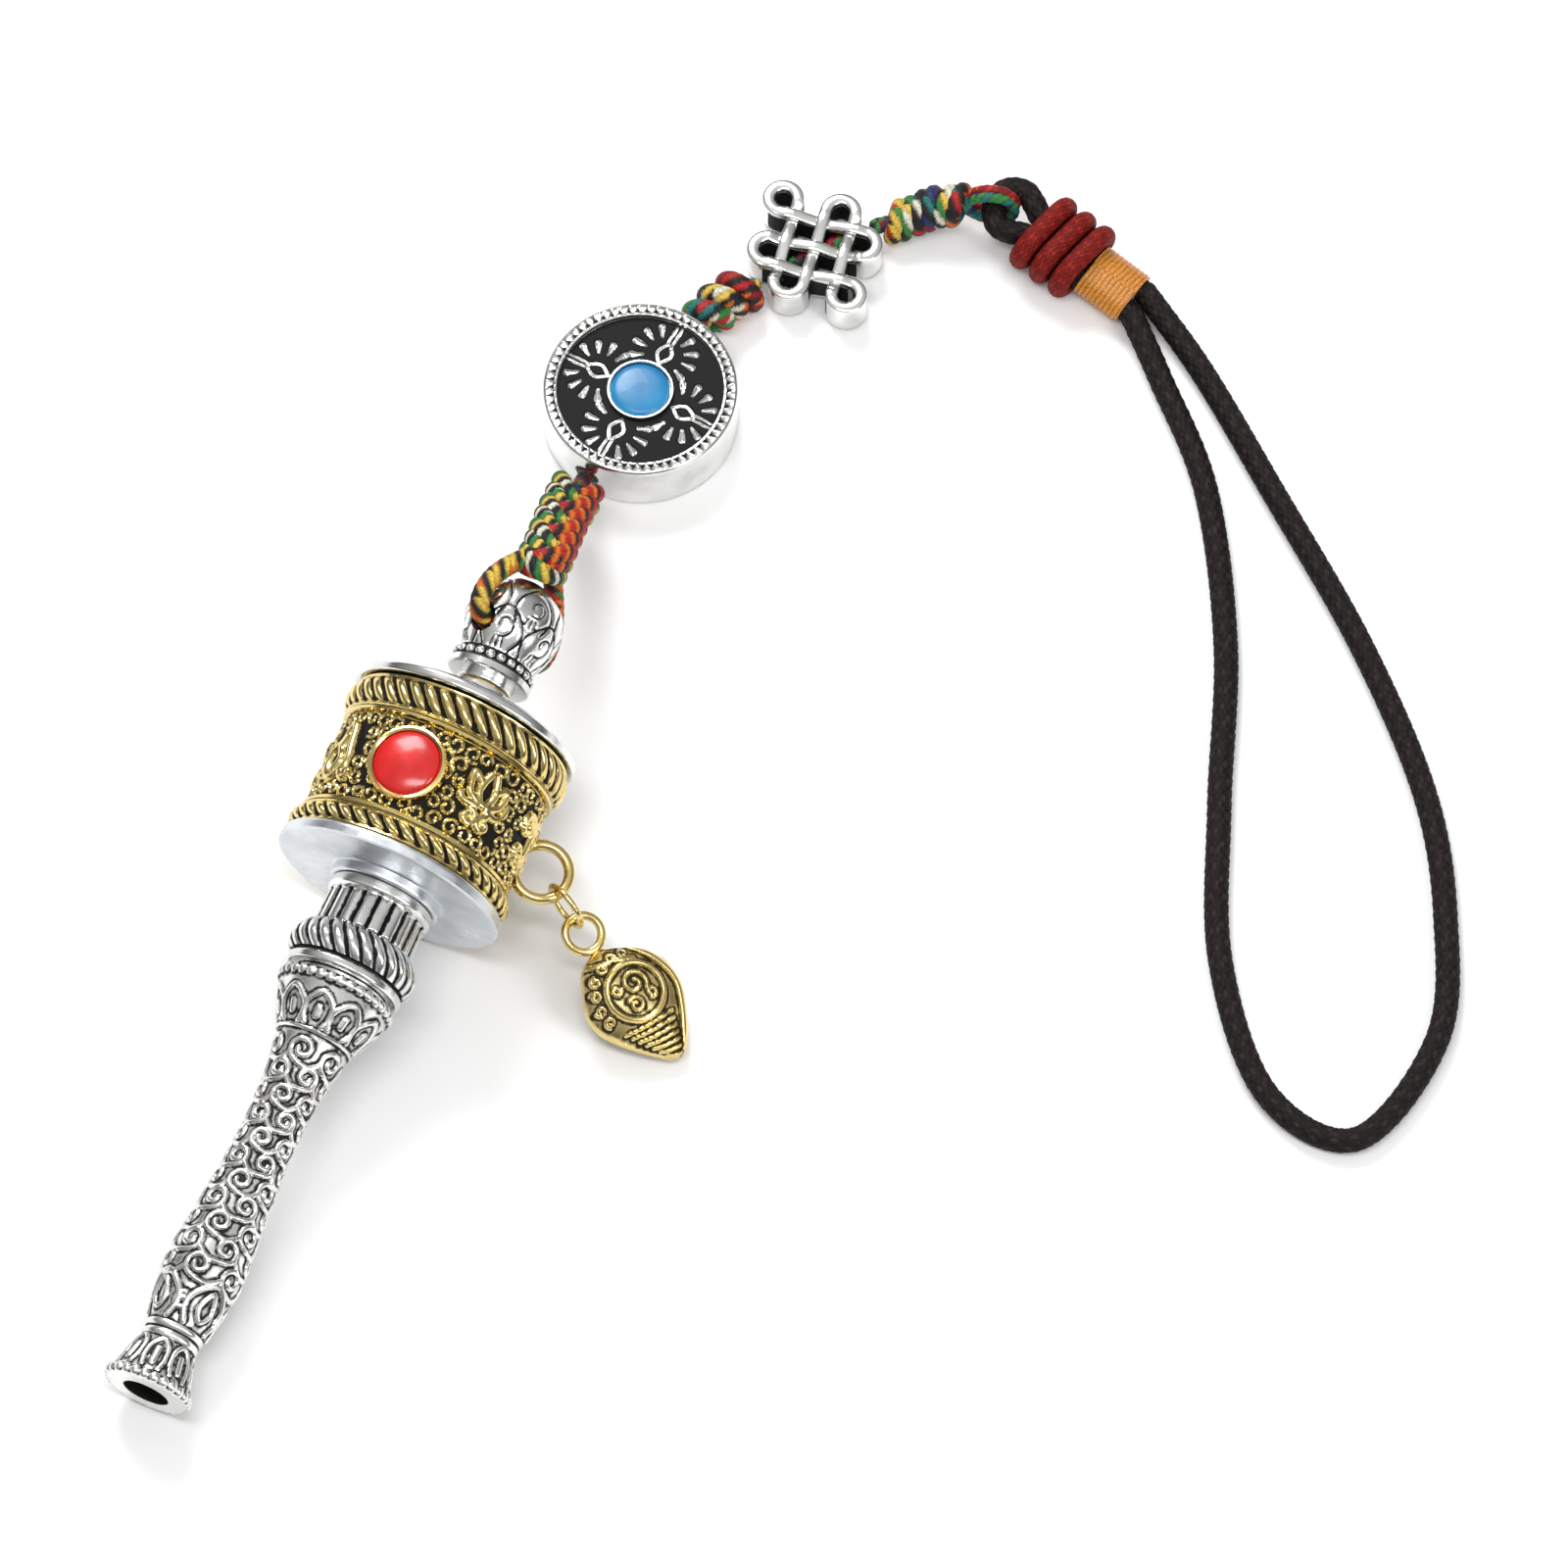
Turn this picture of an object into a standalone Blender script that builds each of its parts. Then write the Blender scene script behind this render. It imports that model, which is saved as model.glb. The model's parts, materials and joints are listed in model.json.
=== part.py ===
"""Mini prayer wheel on a knotted cord with two beads, a shell charm and a wrist strap, laid out flat.

The wheel lies on its drum rim and its foot, so its axis rises a little towards the finial. +Z is up from the
table, +Y runs along the wheel in plan from the foot to the finial, and +X is to the right. Dimensions are in
millimetres and are scaled to metres when a mesh or a frame is made. The whole assembly is moved at the end so
that the middle of the underside of its box is the origin.
"""

import math

import bmesh
import bpy
from mathutils import Matrix, Vector

MM = 0.001

# Fits between pieces
FIT_GAP = 0.05
RUNNING_GAP = 0.06
CORD_GAP = 0.12

# Wheel: radii, and heights along its axis from the foot
FOOT_R = 4.25
FOOT_BORE_R = 2.2
FOOT_BORE_DEPTH = 3.5
ROD_R = 1.0
ROD_BORE_R = ROD_R + FIT_GAP
ROD_HEAD_R = 1.9
ROD_HEAD_LOW = 1.6
ROD_TOP = 78.6
HANDLE_TOP = 43.1
COLLAR_LOW = HANDLE_TOP + 0.1
COLLAR_TOP = 52.55
WASHER_R = 2.4
WASHER_THICK = 0.35
DRUM_LOW = 53.7
DRUM_R = 11.1
BOSS_R = 5.45
PLATE_TOP = 54.85
BAND_LOW = PLATE_TOP + 0.1
BAND_HIGH = 70.65
BAND_R = 10.15
BAND_INNER_R = 8.9
ROPE_R = 11.15
CAP_TOP = 74.75
BUSH_R = 1.6
BUSH_BORE_R = ROD_R + RUNNING_GAP
SCROLL_R = 8.2
FINIAL_LOW = CAP_TOP + FIT_GAP + WASHER_THICK + FIT_GAP
FINIAL_TOP = 86.4
LEAN = math.atan2(DRUM_R - FOOT_R, DRUM_LOW)

# Drum ornaments, as turns about the wheel's axis from the top towards +X
CABOCHON_TURN = math.radians(-6.5)
CABOCHON_HEIGHT = 62.3
CABOCHON_R = 3.22
BEZEL_R = 3.6
BEZEL_TOP = 10.75
SEAT_FLOOR = 9.75
LOOP_TURN = math.radians(101.5)
LOOP_HEIGHT = 61.5
LOOP_CENTRE_R = 12.2
LOOP_R = 2.6
LOOP_WIRE_R = 0.5

# Jump ring and shell charm
RING_CATCH = math.radians(28)
RING_HANG = (0.76, -0.21, -0.61)
RING_R = 2.2
RING_WIRE_R = 0.3
EYELET_R = 1.72
EYELET_WIRE_R = 0.4
CHARM_HEADING = math.radians(-26)
CHARM_DIP = math.radians(-22)

# Multicolour cord
HOLE_HEIGHT = 80.5
HOLE_TURN = math.radians(-30)
HOLE_R = 1.2
CORD_R = 0.95
COLUMN_R = 2.6
COLUMN_START = 9.4
LOOP_CORD_R = 0.7

# Round bead and endless-knot bead
BEAD_CENTRE = Vector((-1.6, 113.1, 3.0))
BEAD_HEADING = math.radians(81)
BEAD_R = 9.15
BEAD_HALF = 3.0
BEAD_RIM_R = 8.8
BEAD_FIELD_R = 7.9
BEAD_FIELD = BEAD_HALF - 0.6
BEAD_HOLE_R = 1.15
BEAD_CABOCHON_R = 2.7
SEAT_R = 3.2
SEAT_TOP = 2.75
SEAT_FLAT = 2.0
KNOT_CENTRE = Vector((6.6, 134.6, 2.15))
KNOT_HEADING = math.radians(54)
KNOT_PITCH = 2.8
KNOT_BAR = 0.9
KNOT_HALF = 2.15
KNOT_REACH = 5.6
PIVOT_GAP = 0.3
CORE_R = 0.9

# Strap
STRAP_ORIGIN = Vector((20.3, 145.9, 4.55))
LINK_CROSSING = (0.1, -0.6, 0)
LINK_HEADING = math.radians(16)
LINK_RISE = math.radians(12)
LINK_NEAR = 2.7
STRAP_HEADING = math.radians(-12)
STRAP_DIP = math.radians(-9)
STRAP_R = 1.18
LEG_OFFSET = 1.25
SLEEVE_BORE_R = STRAP_R + 0.1
COIL_R = 1.0
COIL_PITCH = 2.25
COILS_START = 4.3
WRAP_START = 11.1
WRAP_END = 15.95
STRAP_PIVOT = 16.65
STRAP_REST = 1.2

# Facets round each kind of piece
WHEEL_SIDES = 24
DRUM_SIDES = 36
BORE_SIDES = 16
CORD_SIDES = 10

FRAMES = {}


def clear_scene():
    for obj in list(bpy.data.objects):
        bpy.data.objects.remove(obj, do_unlink=True)


def heading(angle):
    """Level direction at an angle from +X towards +Y."""
    return Vector((math.cos(angle), math.sin(angle), 0))


def radial(turn):
    """Direction away from the wheel's axis in the wheel's own frame, turned from the top towards +X."""
    return Vector((math.sin(turn), -math.cos(turn), 0))


def placed(origin, x_axis, z_axis):
    """Frame with its origin in millimetres, its z along z_axis and its x as near x_axis as it can be."""
    z = Vector(z_axis).normalized()
    x = (Vector(x_axis) - Vector(x_axis).dot(z) * z).normalized()
    frame = Matrix((x, z.cross(x), z)).transposed().to_4x4()
    frame.translation = Vector(origin) * MM
    return frame


def point_in(frame, point):
    """World position in millimetres of a point given in a frame."""
    return (frame @ (Vector(point) * MM)) / MM


def direction_in(frame, direction):
    return frame.to_3x3() @ Vector(direction)


# ---------------------------------------------------------------- objects


def attach(obj, frame, parent):
    """Link an object under its parent so that it stands in the given world frame."""
    bpy.context.scene.collection.objects.link(obj)
    FRAMES[obj.name] = frame
    if parent is None:
        obj.matrix_basis = frame
        return obj
    obj.parent = parent
    obj.matrix_basis = FRAMES[parent.name].inverted() @ frame
    return obj


def pivot(name, frame, parent):
    """Empty on a joint's axis, which its body's pieces hang from."""
    return attach(bpy.data.objects.new(name, None), frame, parent)


def principled(name, colour, roughness, metallic=0.0, coat=0.0):
    material = bpy.data.materials.new(name)
    material.use_nodes = True
    shader = material.node_tree.nodes["Principled BSDF"]
    shader.inputs["Base Color"].default_value = (*colour, 1.0)
    shader.inputs["Roughness"].default_value = roughness
    shader.inputs["Metallic"].default_value = metallic
    shader.inputs["Coat Weight"].default_value = coat
    material.diffuse_color = (*colour, 1.0)
    return material


def part(name, bm, frame, parent, material):
    """Named object from a bmesh in millimetres, shaded smooth but for its sharp edges."""
    bmesh.ops.recalc_face_normals(bm, faces=bm.faces)
    bm.transform(Matrix.Scale(MM, 4))
    mesh = bpy.data.meshes.new(name)
    bm.to_mesh(mesh)
    bm.free()
    mesh.shade_smooth()
    mesh.set_sharp_from_angle(angle=math.radians(35))
    if material is not None:
        mesh.materials.append(material)
    return attach(bpy.data.objects.new(name, mesh), frame, parent)


def combine(target, operation, name, bm, frame):
    """Boolean of the target with a hidden tool body."""
    tool = part(name, bm, frame, target.parent, None)
    tool.hide_render = True
    tool.display_type = "WIRE"
    modifier = target.modifiers.new(name, "BOOLEAN")
    modifier.operation = operation
    modifier.solver = "EXACT"
    modifier.object = tool


# ---------------------------------------------------------------- shapes


def smooth(points, steps, closed=False):
    """Points of a Catmull-Rom curve that passes through the given ones."""
    knots = [Vector(point) for point in points]
    if closed:
        knots = [knots[-1], *knots, knots[0], knots[1]]
    else:
        knots = [2 * knots[0] - knots[1], *knots, 2 * knots[-1] - knots[-2]]
    curve = []
    for a, b, c, d in zip(knots, knots[1:], knots[2:], knots[3:]):
        for step in range(steps):
            t = step / steps
            curve.append(
                0.5 * (2 * b + (c - a) * t + (2 * a - 5 * b + 4 * c - d) * t**2 + (3 * b - a - 3 * c + d) * t**3)
            )
    if not closed:
        curve.append(knots[-2])
    return curve


def skin(bm, rings, loop):
    """Faces between neighbouring rings of vertices; a ring of one vertex is a pole."""
    pairs = list(zip(rings, rings[1:]))
    if loop:
        pairs.append((rings[-1], rings[0]))
    for low, high in pairs:
        sides = max(len(low), len(high))
        for i in range(sides):
            j = (i + 1) % sides
            if len(low) == 1:
                corners = [low[0], high[j], high[i]]
            elif len(high) == 1:
                corners = [low[i], low[j], high[0]]
            else:
                corners = [low[i], low[j], high[j], high[i]]
            bm.faces.new(corners)


def turned(outline, sides, spread=0.0):
    """Solid turned about z from an outline of (radius, height) points.

    An outline that starts and ends on the axis closes there. Any other outline is a loop round a bore. With a
    spread the turned circle becomes two half circles, moved apart along x by that much each way.
    """
    bm = bmesh.new()
    rings = []
    for radius, height in outline:
        if radius == 0:
            rings.append([bm.verts.new((0, 0, height))])
            continue
        ring = []
        for i in range(sides):
            angle = 2 * math.pi * (i + 0.5) / sides
            x = radius * math.cos(angle)
            ring.append(bm.verts.new((x + math.copysign(spread, x), radius * math.sin(angle), height)))
        rings.append(ring)
    skin(bm, rings, loop=outline[0][0] != 0)
    return bm


def cylinder(radius, low, high, sides=24):
    return turned([(0, low), (radius, low), (radius, high), (0, high)], sides)


def circle(radius, count):
    """Points round a circle in the frame's xy plane."""
    turns = [2 * math.pi * i / count for i in range(count)]
    return [Vector((radius * math.cos(t), radius * math.sin(t), 0)) for t in turns]


def sweep(path, sizes, sides, normal, closed=False, dome_steps=3):
    """Round or oval solid along a path, with domed ends.

    Each size is a radius, or the pair of half widths along and across the normal, which is carried along the
    path without twisting.
    """
    bm = bmesh.new()
    count = len(path)
    pairs = [size if isinstance(size, tuple) else (size, size) for size in sizes]
    normal = Vector(normal)
    rings = []

    def ring_at(centre, tangent, half_sizes):
        side = tangent.cross(normal)
        ring = []
        for i in range(sides):
            angle = 2 * math.pi * (i + 0.5) / sides
            reach = half_sizes[0] * math.cos(angle) * normal + half_sizes[1] * math.sin(angle) * side
            ring.append(bm.verts.new(centre + reach))
        return ring

    def dome(centre, tangent, half_sizes, outward):
        length = min(half_sizes)
        found = []
        for step in range(1, dome_steps):
            lift = math.pi / 2 * step / dome_steps
            shrunk = (half_sizes[0] * math.cos(lift), half_sizes[1] * math.cos(lift))
            found.append(ring_at(centre + outward * length * math.sin(lift) * tangent, tangent, shrunk))
        found.append([bm.verts.new(centre + outward * length * tangent)])
        return found

    for i, centre in enumerate(path):
        before = path[i - 1] if i or closed else centre
        after = path[(i + 1) % count] if i < count - 1 or closed else centre
        tangent = (after - before).normalized()
        normal = (normal - normal.dot(tangent) * tangent).normalized()
        if i == 0 and not closed:
            rings += reversed(dome(centre, tangent, pairs[0], -1))
        rings.append(ring_at(centre, tangent, pairs[i]))
    if not closed:
        rings += dome(path[-1], tangent, pairs[-1], 1)
    skin(bm, rings, loop=closed)
    return bm


def torus(radius, wire_radius, count=20, sides=8):
    return sweep(circle(radius, count), [wire_radius] * count, sides, (0, 0, 1), closed=True)


def knotted(path, lump_radius, lumps, waist, first, last):
    """Radius at each path point of a cord with rounded lumps between two fractions of its length."""
    radii = []
    for i in range(len(path)):
        along = i / (len(path) - 1)
        if along < first or along > last:
            radii.append(CORE_R)
            continue
        swell = abs(math.sin(math.pi * lumps * (along - first) / (last - first)))
        radii.append(max(CORE_R, lump_radius * (waist + (1 - waist) * swell**0.6)))
    return radii


# ---------------------------------------------------------------- handle


def build_handle(wheel, axis, silver, brass, steel):
    foot = [(FOOT_BORE_R, 0), (4.1, 0), (FOOT_R, 0.5), (4.1, 1.0), (3.85, 1.1), (2.65, 4.9)]
    grip = smooth([(2.65, 5.7), (3.62, 12.5), (3.15, 18.2), (2.55, 27.0), (3.1, 35.2), (5.2, 40.9)], 3)
    rim = [(5.65, 41.5), (5.65, 42.6), (4.6, 42.6), (4.6, HANDLE_TOP)]
    bore = [(ROD_BORE_R, HANDLE_TOP), (ROD_BORE_R, FOOT_BORE_DEPTH), (FOOT_BORE_R, FOOT_BORE_DEPTH)]
    part("handle_grip", turned(foot + grip + rim + bore, WHEEL_SIDES), wheel, axis, silver)

    lip = [(ROD_BORE_R, COLLAR_LOW), (5.75, COLLAR_LOW), (5.75, 44.1), (5.5, 44.3)]
    bulge = [(6.1, 45.0), (6.25, 45.8), (5.6, 47.2), (4.7, 47.8)]
    neck = [(4.7, 51.3), (5.1, 51.6), (5.1, COLLAR_TOP), (ROD_BORE_R, COLLAR_TOP)]
    part("neck_collar", turned(lip + bulge + neck, WHEEL_SIDES), wheel, axis, silver)

    head_top = FOOT_BORE_DEPTH - FIT_GAP
    shank = [(ROD_HEAD_R, head_top), (ROD_R, head_top), (ROD_R, ROD_TOP), (0, ROD_TOP)]
    part("axle_rod", turned([(0, ROD_HEAD_LOW), (ROD_HEAD_R, ROD_HEAD_LOW)] + shank, BORE_SIDES), wheel, axis, steel)

    for name, low in (("lower_washer", COLLAR_TOP + FIT_GAP), ("upper_washer", CAP_TOP + FIT_GAP)):
        high = low + WASHER_THICK
        ring = [(ROD_BORE_R, low), (WASHER_R, low), (WASHER_R, high), (ROD_BORE_R, high)]
        part(name, turned(ring, BORE_SIDES), wheel, axis, brass)


def build_finial(wheel, axis, silver):
    bore_top = ROD_TOP + FIT_GAP
    base = [(0, bore_top), (ROD_BORE_R, bore_top), (ROD_BORE_R, FINIAL_LOW), (2.7, FINIAL_LOW), (2.7, 75.9)]
    beads = [(4.1, 76.0), (4.1, 76.8), (4.2, 77.1), (4.2, 77.7), (3.6, 77.9)]
    bud = smooth([(3.6, 78.0), (4.4, 80.0), (4.65, 82.1), (3.9, 84.4), (1.8, 86.0)], 3)
    finial = part("finial", turned(base + beads + bud + [(0, FINIAL_TOP)], WHEEL_SIDES), wheel, axis, silver)
    combine(finial, "DIFFERENCE", "cut_cord_hole", cylinder(HOLE_R, -8, 8, 12), hole_frame(wheel))


def hole_frame(wheel):
    """Frame of the finial's cross hole: z along the hole, x along the wheel's axis towards the tip."""
    return wheel @ placed((0, 0, HOLE_HEIGHT), (0, 0, 1), radial(HOLE_TURN))


# ---------------------------------------------------------------- drum


def build_drum(wheel, axis, silver, gold, red, brass, paper):
    bush_hole = BUSH_R + FIT_GAP
    pocket = COLLAR_TOP + FIT_GAP + WASHER_THICK + RUNNING_GAP
    boss_low = COLLAR_TOP + 0.1
    boss = [(bush_hole, pocket), (WASHER_R + 0.2, pocket), (WASHER_R + 0.2, boss_low), (BOSS_R, boss_low)]
    plate = [(BOSS_R, DRUM_LOW), (DRUM_R, DRUM_LOW), (DRUM_R, PLATE_TOP), (bush_hole, PLATE_TOP)]
    part("drum_bottom_plate", turned(boss + plate, DRUM_SIDES), wheel, axis, silver)

    rim = [(8.2, BAND_HIGH + 0.1), (DRUM_R, BAND_HIGH + 0.1), (DRUM_R, 71.7), (9.6, 72.05)]
    cone = [(9.3, 72.35), (3.4, 73.9), (3.0, CAP_TOP), (bush_hole, CAP_TOP), (bush_hole, 73.3), (7.2, 71.9)]
    part("drum_top_cap", turned(rim + cone, DRUM_SIDES), wheel, axis, silver)

    bush = [(BUSH_BORE_R, pocket), (BUSH_R, pocket), (BUSH_R, CAP_TOP - FIT_GAP), (BUSH_BORE_R, CAP_TOP - FIT_GAP)]
    part("drum_bush", turned(bush, BORE_SIDES), wheel, axis, brass)

    paper_low = BAND_LOW + 0.2
    paper_high = BAND_HIGH - 0.4
    paper_bore = BUSH_R + 0.15
    roll = [(paper_bore, paper_low), (SCROLL_R, paper_low), (SCROLL_R, paper_high), (paper_bore, paper_high)]
    part("prayer_scroll", turned(roll, BORE_SIDES), wheel, axis, paper)

    build_band(wheel, axis, gold)
    for name, turn in (("cabochon_front", CABOCHON_TURN), ("cabochon_back", CABOCHON_TURN + math.pi)):
        side = [(0, SEAT_FLOOR + FIT_GAP), (CABOCHON_R, SEAT_FLOOR + FIT_GAP), (CABOCHON_R, 10.45)]
        dome = [(2.5, 10.95), (1.3, 11.2), (0, 11.3)]
        part(name, turned(side + dome, 16), seat_frame(wheel, turn), axis, red)


def seat_frame(wheel, turn):
    """Frame of a cabochon seat: z away from the drum's axis, with its origin on that axis."""
    return wheel @ placed((0, 0, CABOCHON_HEIGHT), (0, 0, 1), radial(turn))


def build_band(wheel, axis, gold):
    low_rope = [(BAND_INNER_R, BAND_LOW), (10.9, BAND_LOW), (ROPE_R, 56.1), (10.9, 57.1), (BAND_R, 57.3)]
    high_rope = [(BAND_R, 67.2), (10.9, 67.4), (ROPE_R, 68.9), (10.9, BAND_HIGH), (BAND_INNER_R, BAND_HIGH)]
    band = part("drum_band", turned(low_rope + high_rope, DRUM_SIDES), wheel, axis, gold)
    for side, turn in (("front", CABOCHON_TURN), ("back", CABOCHON_TURN + math.pi)):
        frame = seat_frame(wheel, turn)
        combine(band, "UNION", f"add_bezel_{side}", cylinder(BEZEL_R, 9.4, BEZEL_TOP, 16), frame)
        combine(band, "DIFFERENCE", f"cut_seat_{side}", cylinder(CABOCHON_R + 0.08, SEAT_FLOOR, 12, 16), frame)
    combine(band, "UNION", "add_weight_loop", torus(LOOP_R, LOOP_WIRE_R), loop_frame(wheel))


def loop_frame(wheel):
    """Frame of the cast loop: x away from the drum's axis, y towards the foot, z across the loop."""
    out = radial(LOOP_TURN)
    return wheel @ placed(LOOP_CENTRE_R * out + Vector((0, 0, LOOP_HEIGHT)), out, out.cross(Vector((0, 0, -1))))


# ---------------------------------------------------------------- weight


def ring_frame(wheel):
    """Frame of the jump ring's hinge on the cast loop's wire: z along the wire, x hanging towards the charm."""
    loop = loop_frame(wheel)
    catch = LOOP_R * Vector((math.cos(RING_CATCH), math.sin(RING_CATCH), 0))
    wire = Vector((-math.sin(RING_CATCH), math.cos(RING_CATCH), 0))
    return placed(point_in(loop, catch), RING_HANG, direction_in(loop, wire))


def charm_frame(ring):
    """Frame of the charm's hinge on the jump ring's far wire: x along the shell, z out of its face."""
    far = RING_R + ring_reach()
    along = heading(CHARM_HEADING) * math.cos(CHARM_DIP) + Vector((0, 0, math.sin(CHARM_DIP)))
    across = heading(CHARM_HEADING + math.pi / 2)
    return placed(point_in(ring, (far, 0, 0)), along, along.cross(across))


def ring_reach():
    """Distance from the loop's wire centre to the jump ring's centre."""
    return RING_R - LOOP_WIRE_R - RING_WIRE_R - FIT_GAP


def build_weight(ring, ring_axis, charm, charm_axis, gold):
    ring_centre = ring @ Matrix.Translation(Vector((ring_reach(), 0, 0)) * MM)
    part("jump_ring", torus(RING_R, RING_WIRE_R), ring_centre, ring_axis, gold)

    eyelet_x = EYELET_R - EYELET_WIRE_R - RING_WIRE_R - 2 * FIT_GAP
    middle = smooth([(2.9, -0.1), (4.6, -0.2), (7.2, 0.0), (10.0, 0.3), (13.2, 0.4), (15.4, 0.3)], 3)
    half_sizes = smooth([(0.8, 1.1), (1.8, 3.0), (2.1, 4.7), (2.0, 4.5), (1.3, 2.6), (0.6, 0.75)], 3)
    path = [Vector((x, y, 0)) for x, y in middle]
    sizes = [(thick, wide) for thick, wide in half_sizes]
    body = part("shell_charm", sweep(path, sizes, 12, (0, 0, 1)), charm, charm_axis, gold)
    eyelet = charm @ Matrix.Translation(Vector((eyelet_x, 0, 0)) * MM)
    combine(body, "UNION", "add_eyelet", torus(EYELET_R, EYELET_WIRE_R), eyelet)


# ---------------------------------------------------------------- cords


def bead_mouth(side):
    """Pivot just outside the round bead's hole: side -1 towards the wheel, 1 towards the knot bead."""
    return BEAD_CENTRE + side * (BEAD_R + PIVOT_GAP) * heading(BEAD_HEADING)


def knot_mouth(side):
    return KNOT_CENTRE + side * (KNOT_REACH + PIVOT_GAP) * heading(KNOT_HEADING)


def build_lower_cord(hole, axis, cords):
    """Cord loop through the finial's hole, joined to the knotted column that runs down to the round bead."""
    side = [(0, 0, 4.2), (0.5, 0, 5.4), (2.0, 0, 5.8), (4.2, 0, 5.1), (6.8, 0, 3.0)]
    mirrored = [(x, y, -z) for x, y, z in reversed(side)]
    ring = smooth(side + [(COLUMN_START, 0, 0)] + mirrored + [(0, 0, 0)], 3, closed=True)
    world = Matrix.Identity(4)
    start = point_in(hole, (COLUMN_START, 0, 0))
    lead = point_in(hole, (COLUMN_START + 4.5, 0, 0))
    mouth = bead_mouth(-1)
    arrive = mouth + Vector((0.6, -4.2, 3.0))
    path = smooth([start, lead, arrive, mouth], 7)
    radii = knotted(path, COLUMN_R, 5, 0.86, 0.0, 0.88)
    cord = part("lower_cord", sweep(path, radii, CORD_SIDES, (1, 0, 0)), world, axis, cords)
    combine(cord, "UNION", "add_finial_loop", sweep(ring, [CORD_R] * len(ring), 8, (0, 1, 0), closed=True), hole)


def build_middle_cord(axis, cords):
    start = bead_mouth(1)
    end = knot_mouth(-1)
    path = smooth([start, start.lerp(end, 0.5) + Vector((-0.4, 0.3, 0.3)), end], 12)
    radii = knotted(path, 2.45, 3, 0.75, 0.1, 0.84)
    part("middle_cord", sweep(path, radii, CORD_SIDES, (0, 0, 1)), Matrix.Identity(4), axis, cords)


def link_frame(head):
    """Frame of the cord's end loop: origin where it crosses the strap's small loop, x towards its far end."""
    ahead = heading(LINK_HEADING) * math.cos(LINK_RISE) + Vector((0, 0, math.sin(LINK_RISE)))
    return placed(point_in(head, LINK_CROSSING), ahead, ahead.cross(Vector((0, 0, 1))))


def link_reach():
    """Distance from the crossing to the wire centre at the far end of the cord's end loop."""
    return STRAP_R + LOOP_CORD_R + 0.1


def build_upper_cord(link, axis, cords):
    """Knotted cord from the knot bead, ending in the upright loop that the strap hangs in."""
    start = knot_mouth(1)
    near = point_in(link, (-LINK_NEAR, 0, 0))
    path = smooth([start, start + Vector((2.9, 2.4, 0.1)), near + Vector((-3.0, -1.4, -0.9)), near], 8)
    radii = knotted(path, 2.1, 3, 0.7, 0.1, 0.93)
    cord = part("upper_cord", sweep(path, radii, CORD_SIDES, (0, 0, 1)), Matrix.Identity(4), axis, cords)
    half = [(link_reach(), 0), (1.3, 1.6), (-0.2, 2.05), (-1.7, 1.5)]
    outline = half + [(-LINK_NEAR, 0)] + [(x, -y) for x, y in reversed(half[1:])]
    ring = [Vector((x, y, 0)) for x, y in smooth(outline, 3, closed=True)]
    combine(cord, "UNION", "add_end_loop", sweep(ring, [LOOP_CORD_R] * len(ring), 8, (0, 0, 1), closed=True), link)


def core(name, centre, angle, half_length, parent, cords):
    """Straight cord inside a bead, with its ends clear of the pivots outside."""
    frame = placed(centre, (0, 0, 1), heading(angle))
    inner = half_length - CORE_R
    path = [Vector((0, 0, -inner)), Vector((0, 0, inner))]
    part(name, sweep(path, [CORE_R] * 2, 8, (1, 0, 0)), frame, parent, cords)


# ---------------------------------------------------------------- beads


def build_round_bead(axis, silver, turquoise, cords):
    """Disc bead with a sunk field and a raised centre seat on each face."""
    level = placed(BEAD_CENTRE, heading(BEAD_HEADING), (0, 0, 1))
    pocket_r = BEAD_CABOCHON_R + 0.1
    seat = [(0, SEAT_FLAT), (pocket_r, SEAT_FLAT), (pocket_r, SEAT_TOP), (SEAT_R, SEAT_TOP), (SEAT_R, BEAD_FIELD)]
    rim = [(BEAD_FIELD_R, BEAD_FIELD), (BEAD_FIELD_R, BEAD_HALF), (BEAD_RIM_R, BEAD_HALF), (BEAD_R, BEAD_HALF - 0.35)]
    upper = seat + rim
    lower = [(radius, -height) for radius, height in reversed(upper)]
    bead = part("round_bead", turned(upper + lower, DRUM_SIDES), level, axis, silver)
    hole = placed(BEAD_CENTRE, (0, 0, 1), heading(BEAD_HEADING))
    combine(bead, "DIFFERENCE", "cut_bead_hole", cylinder(BEAD_HOLE_R, -12, 12, 12), hole)
    for name, flip in (("bead_cabochon_top", 1), ("bead_cabochon_back", -1)):
        low = SEAT_FLAT + FIT_GAP
        gem = [(0, low), (BEAD_CABOCHON_R, low), (BEAD_CABOCHON_R, 2.6), (1.6, 2.9), (0, BEAD_HALF)]
        part(name, turned([(r, h * flip) for r, h in gem], 16), level, axis, turquoise)
    core("cord_in_round_bead", BEAD_CENTRE, BEAD_HEADING, BEAD_R + PIVOT_GAP - CORE_R - CORD_GAP, axis, cords)


def arc(centre, radius, start, end, steps):
    """Points of a circular arc between two angles in degrees."""
    angles = [math.radians(start + (end - start) * i / steps) for i in range(steps + 1)]
    return [Vector((centre[0] + radius * math.cos(a), centre[1] + radius * math.sin(a))) for a in angles]


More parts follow.
